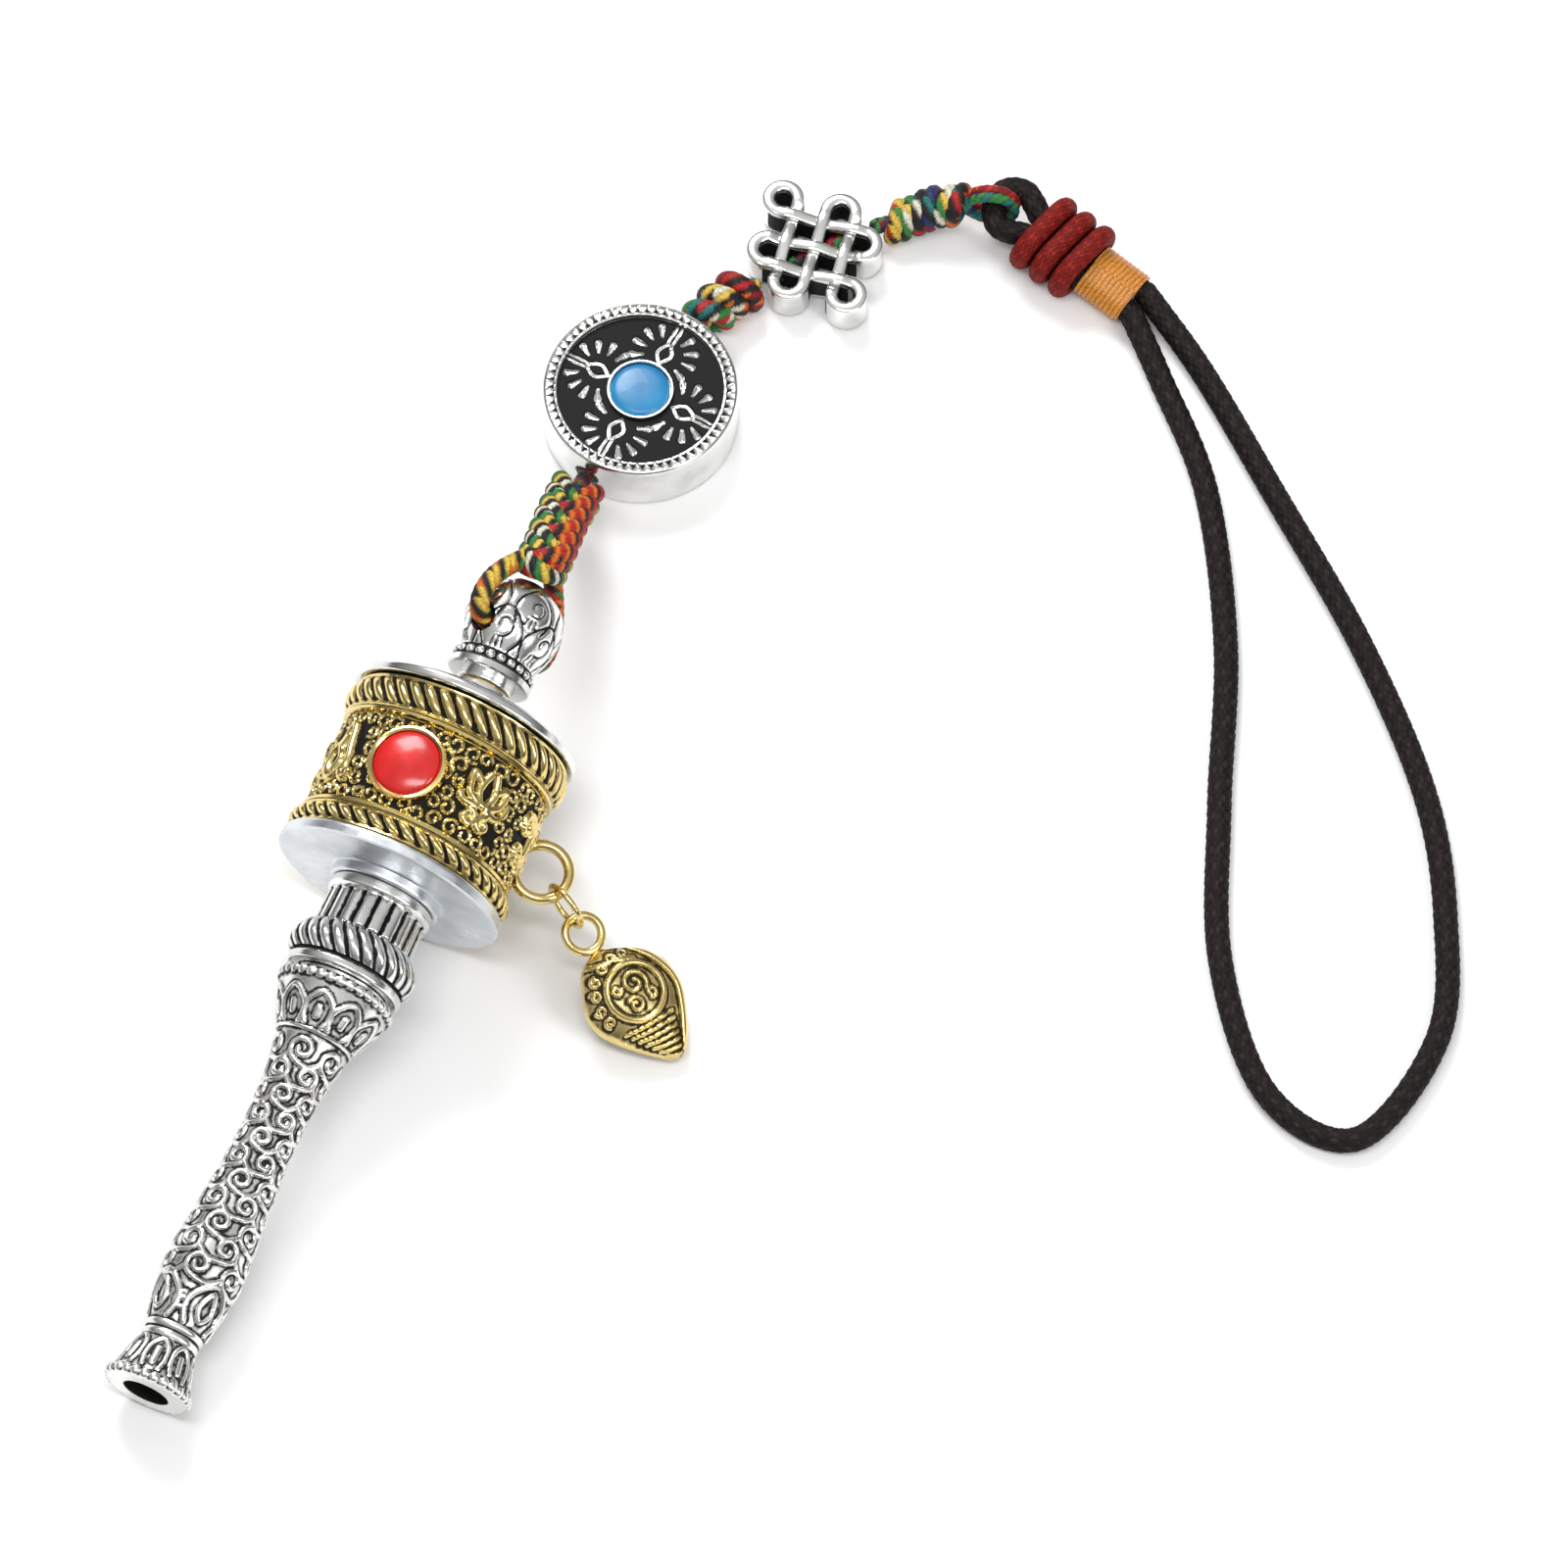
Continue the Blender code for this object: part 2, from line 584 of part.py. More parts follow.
def knot_outline():
    """Outer edge of the endless knot, made of one eighth of lobes that is mirrored and turned."""
    pitch = KNOT_PITCH
    half_bar = KNOT_BAR / 2
    lobe_r = pitch / 2 + half_bar
    notch = 1.62 * pitch
    corner = arc((-1.5 * pitch, 1.5 * pitch), lobe_r, 135, 8, 6)
    side = arc((0.5 * pitch, 1.5 * pitch), lobe_r, 172, 0, 8)
    dip = [Vector((-1.5 * pitch + lobe_r + 0.1, notch)), Vector((0.5 * pitch - lobe_r - 0.1, notch))]
    inner = [Vector((pitch + half_bar, pitch + half_bar))]
    top = corner + dip + side + inner
    left = [Vector((-point.y, -point.x)) for point in reversed(top[1:])]
    half = left + top
    return half + [-point for point in half[1:-1]]


def knot_windows():
    """Through windows between the bars of the knot, as separate prisms in one mesh."""
    bm = bmesh.new()
    pitch = KNOT_PITCH
    half_window = (pitch - KNOT_BAR) / 2
    for column in range(4):
        for row in range(4):
            if column == row and column in (0, 3):
                continue
            centre = Vector(((column - 1.5) * pitch, (row - 1.5) * pitch, 0))
            edge = column in (0, 3) or row in (0, 3)
            notch = (column, row) in ((1, 3), (0, 2), (3, 1), (2, 0))
            sides = 12 if edge and not notch else 4
            reach = half_window if sides == 12 else half_window * math.sqrt(2)
            if notch:
                reach *= 0.75
                centre *= 0.94
            bmesh.ops.create_cone(
                bm,
                cap_ends=True,
                segments=sides,
                radius1=reach,
                radius2=reach,
                depth=4 * KNOT_HALF,
                matrix=Matrix.Translation(centre) @ Matrix.Rotation(math.pi / 4, 4, "Z"),
            )
    return bm


def build_knot_bead(axis, silver, cords):
    """Endless-knot bead, a pierced lattice bored along the diagonal that joins its two missing corners."""
    bm = bmesh.new()
    base = [bm.verts.new((point.x, point.y, -KNOT_HALF)) for point in knot_outline()]
    face = bm.faces.new(base)
    raised = bmesh.ops.extrude_face_region(bm, geom=[face])["geom"]
    top = [item for item in raised if isinstance(item, bmesh.types.BMVert)]
    bmesh.ops.translate(bm, verts=top, vec=(0, 0, 2 * KNOT_HALF))
    level = placed(KNOT_CENTRE, heading(KNOT_HEADING - math.pi / 4), (0, 0, 1))
    bead = part("knot_bead", bm, level, axis, silver)
    combine(bead, "DIFFERENCE", "cut_windows", knot_windows(), level)
    bore = placed(KNOT_CENTRE, (0, 0, 1), heading(KNOT_HEADING))
    combine(bead, "DIFFERENCE", "cut_knot_bore", cylinder(BEAD_HOLE_R, -9, 9, 12), bore)
    core("cord_in_knot_bead", KNOT_CENTRE, KNOT_HEADING, KNOT_REACH + PIVOT_GAP - CORE_R - CORD_GAP, axis, cords)


# ---------------------------------------------------------------- strap


def strap_frame():
    """Frame of the strap's head: origin at the end of its small loop, x towards the wrist loop."""
    level = placed(STRAP_ORIGIN, heading(STRAP_HEADING), (0, 0, 1))
    return level @ Matrix.Rotation(-STRAP_DIP, 4, "Y")


def build_strap_head(frame, axis, black, red, orange):
    legs_end = STRAP_PIVOT - 2 * STRAP_R - CORD_GAP
    side = [(legs_end, LEG_OFFSET), (10.0, LEG_OFFSET), (5.0, LEG_OFFSET), (4.1, 1.27), (3.0, 1.85)]
    bend = [(1.6, 2.32), (0.3, 1.6), (-0.1, 0.4), LINK_CROSSING[:2], (0.8, -1.6), (1.8, -2.15)]
    loop = side + bend + [(x, -y) for x, y in reversed(side)]
    path = [Vector((x, y, 0)) for x, y in smooth(loop, 3)]
    part("strap_link", sweep(path, [STRAP_R] * len(path), 10, (0, 0, 1)), frame, axis, black)

    along = frame @ placed((0, 0, 0), (0, 1, 0), (1, 0, 0))
    coil_low = SLEEVE_BORE_R + 0.75
    coils = [(SLEEVE_BORE_R, COILS_START)]
    for turn in range(3):
        middle = COILS_START + (turn + 0.5) * COIL_PITCH
        for lift in range(-1, 2):
            angle = math.radians(65 * lift)
            coils.append((coil_low + COIL_R * math.cos(angle), middle + COIL_R * math.sin(angle)))
    coils.append((SLEEVE_BORE_R, COILS_START + 3 * COIL_PITCH))
    part("red_knot", turned(coils, 20, LEG_OFFSET), along, axis, red)

    wrap_r = SLEEVE_BORE_R + 0.28
    sleeve = [(SLEEVE_BORE_R, WRAP_START), (wrap_r, WRAP_START), (wrap_r, WRAP_END), (SLEEVE_BORE_R, WRAP_END)]
    part("gold_wrap", turned(sleeve, 20, LEG_OFFSET), along, axis, orange)


def leg_start(frame, side):
    return point_in(frame, (STRAP_PIVOT, side * LEG_OFFSET, 0))


def strap_curves(frame):
    """Centre lines of the wrist loop: the leg nearer the wheel, the far leg, and the bend that joins them."""
    near = [(41.3, 136.4), (50.0, 127.3), (58.4, 112.9), (64.6, 97.4)]
    bottom = [(71.2, 82.7), (80.7, 71.8), (90.2, 71.0), (92.8, 83.5), (88.4, 95.4)]
    far = [(81.5, 106.4), (69.8, 118.3), (55.6, 129.9), (44.7, 138.6)]
    outline = [Vector((x, y, STRAP_REST)) for x, y in near + bottom + far]
    outline = [leg_start(frame, -1), *outline, leg_start(frame, 1)]
    steps = 4
    curve = smooth(outline, steps)
    first = len(near) * steps
    last = (len(near) + len(bottom) + 1) * steps
    return curve[: first + 1], curve[first : last + 1], curve[last:]


def shorten(path, length):
    """Path with about the given length taken off its end."""
    kept = list(path)
    while (kept[-1] - path[-1]).length < length:
        last = kept.pop()
    gap = (last - kept[-1]).normalized()
    return kept + [path[-1] - gap * length]


def build_strap(frame, upper_axis, lower_axis, black):
    near, bottom, far = strap_curves(frame)
    back = 2 * STRAP_R + CORD_GAP
    for name, leg in (("strap_leg_near", near), ("strap_leg_far", far[::-1])):
        path = shorten(leg, back)
        part(name, sweep(path, [STRAP_R] * len(path), 10, (0, 0, 1)), Matrix.Identity(4), upper_axis, black)
    sizes = [STRAP_R] * len(bottom)
    part("strap_bend", sweep(bottom, sizes, 10, (0, 0, 1)), Matrix.Identity(4), lower_axis, black)


# ---------------------------------------------------------------- assembly


def move_to_table_centre(assembly):
    """Move the assembly so that the middle of the underside of its box is the origin."""
    bpy.context.view_layer.update()
    depsgraph = bpy.context.evaluated_depsgraph_get()
    corners = []
    for obj in bpy.context.scene.objects:
        if obj.type == "MESH" and not obj.hide_render:
            solid = obj.evaluated_get(depsgraph)
            corners += [solid.matrix_world @ vertex.co for vertex in solid.data.vertices]
    low = [min(corner[i] for corner in corners) for i in range(3)]
    high = [max(corner[i] for corner in corners) for i in range(3)]
    assembly.location = (-(low[0] + high[0]) / 2, -(low[1] + high[1]) / 2, -low[2])


def main():
    clear_scene()
    silver = principled("antique_silver", (0.62, 0.62, 0.60), 0.3, 1.0)
    gold = principled("antique_gold", (0.72, 0.55, 0.22), 0.32, 1.0)
    brass = principled("bush_brass", (0.75, 0.58, 0.3), 0.35, 1.0)
    steel = principled("rod_steel", (0.5, 0.5, 0.52), 0.35, 1.0)
    red = principled("red_enamel", (0.62, 0.02, 0.02), 0.15, coat=1.0)
    turquoise = principled("turquoise_enamel", (0.02, 0.28, 0.55), 0.2, coat=1.0)
    paper = principled("scroll_paper", (0.75, 0.68, 0.5), 0.9)
    cords = principled("multicolour_cord", (0.45, 0.2, 0.08), 0.7)
    black = principled("strap_cord", (0.03, 0.015, 0.015), 0.75)
    maroon = principled("red_cord", (0.35, 0.03, 0.03), 0.7)
    orange = principled("gold_thread", (0.75, 0.38, 0.06), 0.5)

    assembly = pivot("assembly", Matrix.Identity(4), None)
    foot_height = FOOT_R * math.cos(LEAN)
    wheel = Matrix.Translation((0, 0, foot_height * MM)) @ Matrix.Rotation(LEAN - math.pi / 2, 4, "X")
    up = Vector((0, 0, 1))
    bead_across = heading(BEAD_HEADING - math.pi / 2)
    knot_across = heading(KNOT_HEADING - math.pi / 2)

    handle_axis = pivot("handle_axis", wheel, assembly)
    drum_axis = pivot("drum_axis", wheel, handle_axis)
    ring = ring_frame(wheel)
    ring_axis = pivot("ring_axis", ring, drum_axis)
    charm = charm_frame(ring)
    wire_across = direction_in(ring, (0, 1, 0))
    charm_axis = pivot("charm_axis", placed(point_in(charm, (0, 0, 0)), up, wire_across), ring_axis)
    hole = hole_frame(wheel)
    cord_axis = pivot("cord_axis", hole, handle_axis)
    bead_axis = pivot("bead_axis", placed(bead_mouth(-1), up, bead_across), cord_axis)
    middle_axis = pivot("middle_axis", placed(bead_mouth(1), heading(0), up), bead_axis)
    knot_axis = pivot("knot_axis", placed(knot_mouth(-1), up, knot_across), middle_axis)
    upper_axis = pivot("upper_axis", placed(knot_mouth(1), heading(0), up), knot_axis)
    head = strap_frame()
    link = link_frame(head)
    link_axis = pivot("link_axis", placed(point_in(link, (link_reach(), 0, 0)), heading(0), up), upper_axis)
    strap_across = direction_in(head, (0, 1, 0))
    strap_axis = pivot("strap_axis", placed(point_in(head, (STRAP_PIVOT, 0, 0)), up, strap_across), link_axis)
    bottom = strap_curves(head)[1]
    fold_middle = (bottom[0] + bottom[-1]) / 2
    fold_axis = pivot("fold_axis", placed(fold_middle, up, bottom[-1] - bottom[0]), strap_axis)

    build_handle(wheel, handle_axis, silver, brass, steel)
    build_finial(wheel, handle_axis, silver)
    build_drum(wheel, drum_axis, silver, gold, red, brass, paper)
    build_weight(ring, ring_axis, charm, charm_axis, gold)
    build_lower_cord(hole, cord_axis, cords)
    build_round_bead(bead_axis, silver, turquoise, cords)
    build_middle_cord(middle_axis, cords)
    build_knot_bead(knot_axis, silver, cords)
    build_upper_cord(link, upper_axis, cords)
    build_strap_head(head, link_axis, black, maroon, orange)
    build_strap(head, strap_axis, fold_axis, black)
    move_to_table_centre(assembly)


main()
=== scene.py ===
"""Look of the mini prayer wheel, its cord, beads, shell charm and wrist strap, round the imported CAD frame.

Shapes are worked out in millimetres in the frame of the piece they belong to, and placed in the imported
model's frame when their mesh is made. A wheel point is given by its turn about the axle, from the top
towards +X, its height along the axle from the foot, and its radius.
"""

import json
import math

import bpy
import numpy as np
from mathutils import Matrix, Vector
from mathutils.kdtree import KDTree


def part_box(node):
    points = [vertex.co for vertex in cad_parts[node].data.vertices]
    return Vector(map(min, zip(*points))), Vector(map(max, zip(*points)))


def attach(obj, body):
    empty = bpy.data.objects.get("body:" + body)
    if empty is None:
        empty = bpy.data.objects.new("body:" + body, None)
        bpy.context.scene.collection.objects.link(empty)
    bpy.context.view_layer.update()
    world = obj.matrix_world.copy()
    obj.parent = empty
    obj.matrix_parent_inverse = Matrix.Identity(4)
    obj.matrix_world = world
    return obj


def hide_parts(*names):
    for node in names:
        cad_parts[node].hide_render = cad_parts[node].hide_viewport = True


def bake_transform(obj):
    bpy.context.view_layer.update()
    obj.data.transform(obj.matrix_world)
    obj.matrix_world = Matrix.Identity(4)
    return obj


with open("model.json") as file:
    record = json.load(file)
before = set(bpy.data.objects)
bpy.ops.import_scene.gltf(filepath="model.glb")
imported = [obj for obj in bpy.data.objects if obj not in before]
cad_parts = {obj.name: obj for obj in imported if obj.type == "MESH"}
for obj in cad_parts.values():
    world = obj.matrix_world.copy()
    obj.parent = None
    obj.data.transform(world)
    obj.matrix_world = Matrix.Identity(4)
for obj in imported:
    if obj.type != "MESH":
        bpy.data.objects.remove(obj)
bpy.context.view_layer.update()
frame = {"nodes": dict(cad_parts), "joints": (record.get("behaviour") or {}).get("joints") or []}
JOINTS = {joint["name"]: joint for joint in frame["joints"]}
MM = 0.001
UP = Vector((0, 0, 1))
FULL_TURN = 2 * math.pi


# ---- frames


def heading(degrees):
    """Level direction at an angle from +X towards +Y."""
    angle = math.radians(degrees)
    return Vector((math.cos(angle), math.sin(angle), 0))


def radial(turn):
    """Direction away from the axle in the wheel's frame."""
    return Vector((math.sin(turn), -math.cos(turn), 0))


def joint_point(name):
    """Where a joint's axis stands, in millimetres."""
    return Vector(JOINTS[name]["pos_m"]) / MM


def placed(origin, x_axis, z_axis):
    """Frame in millimetres with its z along z_axis and its x as near x_axis as it can be."""
    z = Vector(z_axis).normalized()
    x = (Vector(x_axis) - Vector(x_axis).dot(z) * z).normalized()
    made = Matrix((x, z.cross(x), z)).transposed().to_4x4()
    made.translation = Vector(origin)
    return made


def box_centre(node):
    low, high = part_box(node)
    return (low + high) / (2 * MM)


WHEEL = placed(joint_point("drum_spin"), (1, 0, 0), JOINTS["drum_spin"]["axis"])
AXLE = WHEEL.to_3x3() @ UP
HOLE = placed(joint_point("cord_swing"), AXLE, JOINTS["cord_swing"]["axis"])
TABLE = Vector((*joint_point("drum_spin").xy, 0))
WORLD = Matrix.Identity(4)

BEAD_HEADING = 81
BEAD = placed(box_centre("round_bead"), heading(BEAD_HEADING), UP)
KNOT_HEADING = 54
KNOT = placed(box_centre("knot_bead"), heading(KNOT_HEADING - 45), UP)

STRAP_R = 1.18
LOOP_CORD_R = 0.7
LINK_HEADING = 16
LINK_RISE = math.radians(12)
LINK_REACH = STRAP_R + LOOP_CORD_R + 0.1
LINK_NEAR = 2.7
LINK_ALONG = heading(LINK_HEADING) * math.cos(LINK_RISE) + math.sin(LINK_RISE) * UP
LINK = placed(joint_point("link_yaw") - LINK_REACH * LINK_ALONG, LINK_ALONG, LINK_ALONG.cross(UP))

STRAP_PIVOT = 16.65
STRAP_DIP = math.radians(-9)
STRAP_ALONG = heading(-12) * math.cos(STRAP_DIP) + math.sin(STRAP_DIP) * UP
HEAD = placed(
    joint_point("strap_pitch") - STRAP_PIVOT * STRAP_ALONG,
    STRAP_ALONG,
    STRAP_ALONG.cross(Vector(JOINTS["strap_pitch"]["axis"])),
)
LEG_OFFSET = 1.25

RING_REACH = 1.35
CHARM_HEADING = -26
CHARM_DIP = math.radians(-22)
CHARM_ALONG = heading(CHARM_HEADING) * math.cos(CHARM_DIP) + math.sin(CHARM_DIP) * UP
CHARM = placed(joint_point("charm_swing"), CHARM_ALONG, CHARM_ALONG.cross(heading(CHARM_HEADING + 90)))

CABOCHON_TURN = math.radians(-6.5)
CABOCHON_HEIGHT = 62.3
LOOP_TURN = math.radians(101.5)
LOOP_HEIGHT = 61.5


# ---- materials


def new_material(name):
    material = bpy.data.materials.new(name)
    material.use_nodes = True
    return material, material.node_tree


def feed(tree, socket, value):
    """Gives an input a number, a colour or another node's output."""
    if isinstance(value, bpy.types.NodeSocket):
        tree.links.new(value, socket)
    elif isinstance(value, tuple):
        socket.default_value = (*value, 1.0)
    else:
        socket.default_value = value


def feed_named(tree, node, inputs):
    """Feeds a node's inputs by name, with _ for each space."""
    for key, value in inputs.items():
        feed(tree, node.inputs[key.replace("_", " ")], value)


def add_node(tree, kind, properties=None, **inputs):
    node = tree.nodes.new(kind)
    for key, value in (properties or {}).items():
        setattr(node, key, value)
    feed_named(tree, node, inputs)
    return node


def noise(tree, scale, detail=3.0):
    """Value of a noise texture in the piece's own coordinates; 1/scale metres is the size of its grains."""
    where = add_node(tree, "ShaderNodeTexCoord").outputs["Object"]
    return add_node(tree, "ShaderNodeTexNoise", Vector=where, Scale=scale, Detail=detail).outputs["Fac"]


def attribute(tree, name, output):
    return add_node(tree, "ShaderNodeAttribute", {"attribute_name": name}).outputs[output]


def remap(tree, value, low, high, to_low=0.0, to_high=1.0):
    ends = {"From_Min": low, "From_Max": high, "To_Min": to_low, "To_Max": to_high}
    return add_node(tree, "ShaderNodeMapRange", Value=value, **ends).outputs["Result"]


def mixed(tree, factor, first, second, blend="MIX"):
    """Mix of two colours; a factor can be a number or a socket."""
    node = add_node(tree, "ShaderNodeMix", {"data_type": "RGBA", "blend_type": blend})
    for index, value in ((0, factor), (6, first), (7, second)):
        feed(tree, node.inputs[index], value)
    return node.outputs[2]


def grey(tree, value):
    return add_node(tree, "ShaderNodeCombineColor", Red=value, Green=value, Blue=value).outputs["Color"]


def bump(tree, height, strength, distance):
    """Normal of a fine bump from a height value; the distance is in metres."""
    node = add_node(tree, "ShaderNodeBump", Strength=strength, Distance=distance, Height=height)
    return node.outputs["Normal"]


def finished(material, **inputs):
    tree = material.node_tree
    feed_named(tree, tree.nodes["Principled BSDF"], inputs)
    return material


def cast_metal(name, bright, dark, roughness, dark_below=0.25):
    """Cast metal that is bright where it stands proud and blackened by patina in its recesses; the same black
    is also painted shade, laid into holes and shaded inner walls.
    """
    material, tree = new_material(name)
    # The mesh attribute read here holds wear and patina together with painted shade in holes and shaded
    # walls; 0 is black, 1 bare metal.
    ragged = add_node(tree, "ShaderNodeMath", {"operation": "ADD"})
    feed(tree, ragged.inputs[0], attribute(tree, "wear_and_shade", "Fac"))
    feed(tree, ragged.inputs[1], remap(tree, noise(tree, 1400), 0.3, 0.7, -0.16, 0.16))
    bare_unshaded = remap(tree, ragged.outputs["Value"], dark_below, 0.6)
    dull = tuple(0.72 * value for value in bright)
    tarnished = mixed(tree, remap(tree, noise(tree, 260), 0.4, 0.75), bright, dull)
    return finished(
        material,
        Base_Color=mixed(tree, bare_unshaded, dark, tarnished),
        Roughness=remap(tree, bare_unshaded, 0.0, 1.0, 0.55, roughness),
        Metallic=bare_unshaded,
        Specular_IOR_Level=remap(tree, bare_unshaded, 0.0, 1.0, 0.12, 0.5),
        Normal=bump(tree, noise(tree, 3200, 5.0), 0.25, 0.00003),
    )


def turned_metal(name, bright, roughness):
    """Plain machined metal with faint grain and tarnish."""
    material, tree = new_material(name)
    dull = tuple(0.78 * value for value in bright)
    return finished(
        material,
        Base_Color=mixed(tree, remap(tree, noise(tree, 300, 5.0), 0.35, 0.75), bright, dull),
        Roughness=remap(tree, noise(tree, 900), 0.3, 0.7, roughness - 0.06, roughness + 0.1),
        Metallic=1.0,
        Normal=bump(tree, noise(tree, 2600, 4.0), 0.2, 0.00002),
    )


def enamel(name, colour, deep, roughness):
    """Glossy domed enamel whose colour pools a little unevenly."""
    material, tree = new_material(name)
    return finished(
        material,
        Base_Color=mixed(tree, remap(tree, noise(tree, 260, 2.0), 0.35, 0.7), colour, deep),
        Roughness=remap(tree, noise(tree, 700), 0.3, 0.7, roughness, roughness + 0.12),
        Coat_Weight=0.15,
        Coat_Roughness=0.05,
        Normal=bump(tree, noise(tree, 350, 1.0), 0.15, 0.0001),
    )


def thread(name, roughness, sheen, variation=0.35, gloss=0.4):
    """Spun thread: the strand colours stored on the mesh, which carry painted shade in the grooves between
    yarns, with fibre flecks over them.
    """
    material, tree = new_material(name)
    fibre = remap(tree, noise(tree, 5200, 4.0), 0.3, 0.7, 1.0 - variation, 1.0 + variation)
    return finished(
        material,
        Base_Color=mixed(tree, 1.0, attribute(tree, "tint", "Color"), grey(tree, fibre), "MULTIPLY"),
        Roughness=remap(tree, noise(tree, 2400), 0.3, 0.7, roughness - 0.1, roughness + 0.1),
        Sheen_Weight=sheen,
        Specular_IOR_Level=gloss,
        Normal=bump(tree, noise(tree, 7000, 3.0), 0.5, 0.00005),
    )


def rolled_paper(name):
    """Paper with faint rolled layers."""
    material, tree = new_material(name)
    layers = remap(tree, noise(tree, 1800, 6.0), 0.3, 0.7)
    return finished(
        material,
        Base_Color=mixed(tree, layers, (0.8, 0.72, 0.52), (0.62, 0.53, 0.36)),
        Roughness=0.9,
        Normal=bump(tree, layers, 0.4, 0.00005),
    )


# ---- meshes


def moved(points, place):
    """Points carried from a frame into the one it stands in."""
    matrix = np.array(place)
    return np.asarray(points) @ matrix[:3, :3].T + matrix[:3, 3]


def at_height(flat, height=0.0):
    """Flat points at one height."""
    flat = np.asarray(flat, float)
    return np.hstack([flat, np.full((len(flat), 1), height)])


class Shape:
    """Points, faces and per-point values of one piece, gathered from one or more solids."""

    def __init__(self):
        self.points = []
        self.faces = []
        self.wear_and_shade = []
        self.tint = []

    def add(self, points, faces, wear_and_shade=None, tint=None):
        start = sum(len(block) for block in self.points)
        count = len(points)
        self.points.append(np.asarray(points, float))
        self.faces += [tuple(start + corner for corner in face) for face in faces]
        self.wear_and_shade.append(np.ones(count) if wear_and_shade is None else np.asarray(wear_and_shade, float).ravel())
        self.tint.append(np.ones((count, 3)) if tint is None else np.asarray(tint, float).reshape(count, 3))
        return self

    def add_tube(self, path, wide, high, sides, normal, **settings):
        points, faces, colours = tube(path, wide, high, sides, normal, **settings)
        return self.add(points, faces, tint=colours)

    def made(self, name, place, material, slot, body=None, *nodes):
        """Object of the gathered solids, smooth but for sharp edges, on a body and in place of CAD nodes."""
        mesh = bpy.data.meshes.new(name)
        mesh.from_pydata((moved(np.vstack(self.points), place) * MM).tolist(), [], self.faces)
        mesh.shade_smooth()
        mesh.set_sharp_from_angle(angle=math.radians(50))
        wear_and_shade = mesh.attributes.new("wear_and_shade", "FLOAT", "POINT")
        wear_and_shade.data.foreach_set("value", np.concatenate(self.wear_and_shade).astype(np.float32))
        tint = mesh.attributes.new("tint", "FLOAT_COLOR", "POINT")
        colours = np.vstack(self.tint)
        rgba = np.hstack([colours, np.ones((len(colours), 1))])
        tint.data.foreach_set("color", rgba.astype(np.float32).ravel())
        mesh.materials.append(material)
        obj = bpy.data.objects.new(name, mesh)
        bpy.context.scene.collection.objects.link(obj)
        if body:
            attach(obj, body)
        if nodes:
            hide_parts(*nodes)
        return obj


def grid_faces(rows, sides, loop):
    """Quads of rows of points that close round their sides; open ends are capped unless the rows loop."""
    pairs = list(zip(range(rows), range(1, rows)))
    if loop:
        pairs.append((rows - 1, 0))
    faces = []
    for low, high in pairs:
        for i in range(sides):
            j = (i + 1) % sides
            faces.append((low * sides + i, low * sides + j, high * sides + j, high * sides + i))
    if not loop:
        faces.append(tuple(reversed(range(sides))))
        faces.append(tuple(range((rows - 1) * sides, rows * sides)))
    return faces


def smooth(points, steps, closed=False):
    """Points of a Catmull-Rom curve through the given ones."""
    knots = [np.array(point, float) for point in points]
    if closed:
        knots = [knots[-1], *knots, knots[0], knots[1]]
    else:
        knots = [2 * knots[0] - knots[1], *knots, 2 * knots[-1] - knots[-2]]
    curve = []
    for a, b, c, d in zip(knots, knots[1:], knots[2:], knots[3:]):
        for step in range(steps):
            t = step / steps
            square = 2 * a - 5 * b + 4 * c - d
            cube = 3 * b - a - 3 * c + d
            curve.append(0.5 * (2 * b + (c - a) * t + square * t**2 + cube * t**3))
    if not closed:
        curve.append(knots[-2])
    return np.array(curve)


def run_along(path):
    """Length of a path up to each of its points."""
    return np.concatenate([[0], np.cumsum(np.linalg.norm(np.diff(path, axis=0), axis=1))])


def resampled(path, step, closed=False):
    """Path with evenly spaced points, about one step apart."""
    path = np.asarray(path, float)
    if closed:
        path = np.vstack([path, path[:1]])
    lengths = run_along(path)
    count = max(3, int(round(lengths[-1] / step)))
    wanted = np.linspace(0, lengths[-1], count, endpoint=not closed)
    return np.stack([np.interp(wanted, lengths, path[:, axis]) for axis in range(path.shape[1])], axis=1)


def carried_frames(path, normal, closed):
    """Two unit directions across a path at each of its points, carried along it without twisting."""
    ahead = np.roll(path, -1, axis=0)
    behind = np.roll(path, 1, axis=0)
    if not closed:
        ahead[-1] = path[-1]
        behind[0] = path[0]
    tangents = ahead - behind
    tangents /= np.linalg.norm(tangents, axis=1)[:, None]
    normals = np.empty_like(path)
    current = np.array(normal, float)
    for i, tangent in enumerate(tangents):
        current = current - current.dot(tangent) * tangent
        current /= np.linalg.norm(current)
        normals[i] = current
    return normals, np.cross(tangents, normals)


def tube(path, wide, high, sides, normal, closed=False, relief=None, domed=True):
    """Rows of points round a path, of oval section, with an optional relief as a share of the radius.

    The relief gets the length run along the path and the angle round it, and returns the share and a value
    for each point. The ends of an open tube are rounded off if it is domed.
    """
    path = np.asarray(path, float)
    normals, across = carried_frames(path, normal, closed)
    lengths = run_along(path)
    wide = np.broadcast_to(wide, len(path))
    high = np.broadcast_to(high, len(path))
    if domed and not closed:
        end_cap = 0.9 * np.minimum(wide, high)
        run = np.minimum(lengths, lengths[-1] - lengths)
        rounded = np.sqrt(np.clip(1 - (1 - np.clip(run / end_cap, 0, 1)) ** 2, 0.02, 1))
        wide = wide * rounded
        high = high * rounded
    angle = FULL_TURN * np.arange(sides) / sides
    along = np.repeat(lengths[:, None], sides, axis=1)
    around = np.repeat(angle[None, :], len(path), axis=0)
    share, value = (np.ones_like(along), None) if relief is None else relief(along, around)
    reach = np.cos(around)[:, :, None] * high[:, None, None] * normals[:, None, :]
    reach = reach + np.sin(around)[:, :, None] * wide[:, None, None] * across[:, None, :]
    points = path[:, None, :] + reach * share[:, :, None]
    return points.reshape(-1, 3), grid_faces(len(path), sides, closed), value


# ---- raised lines


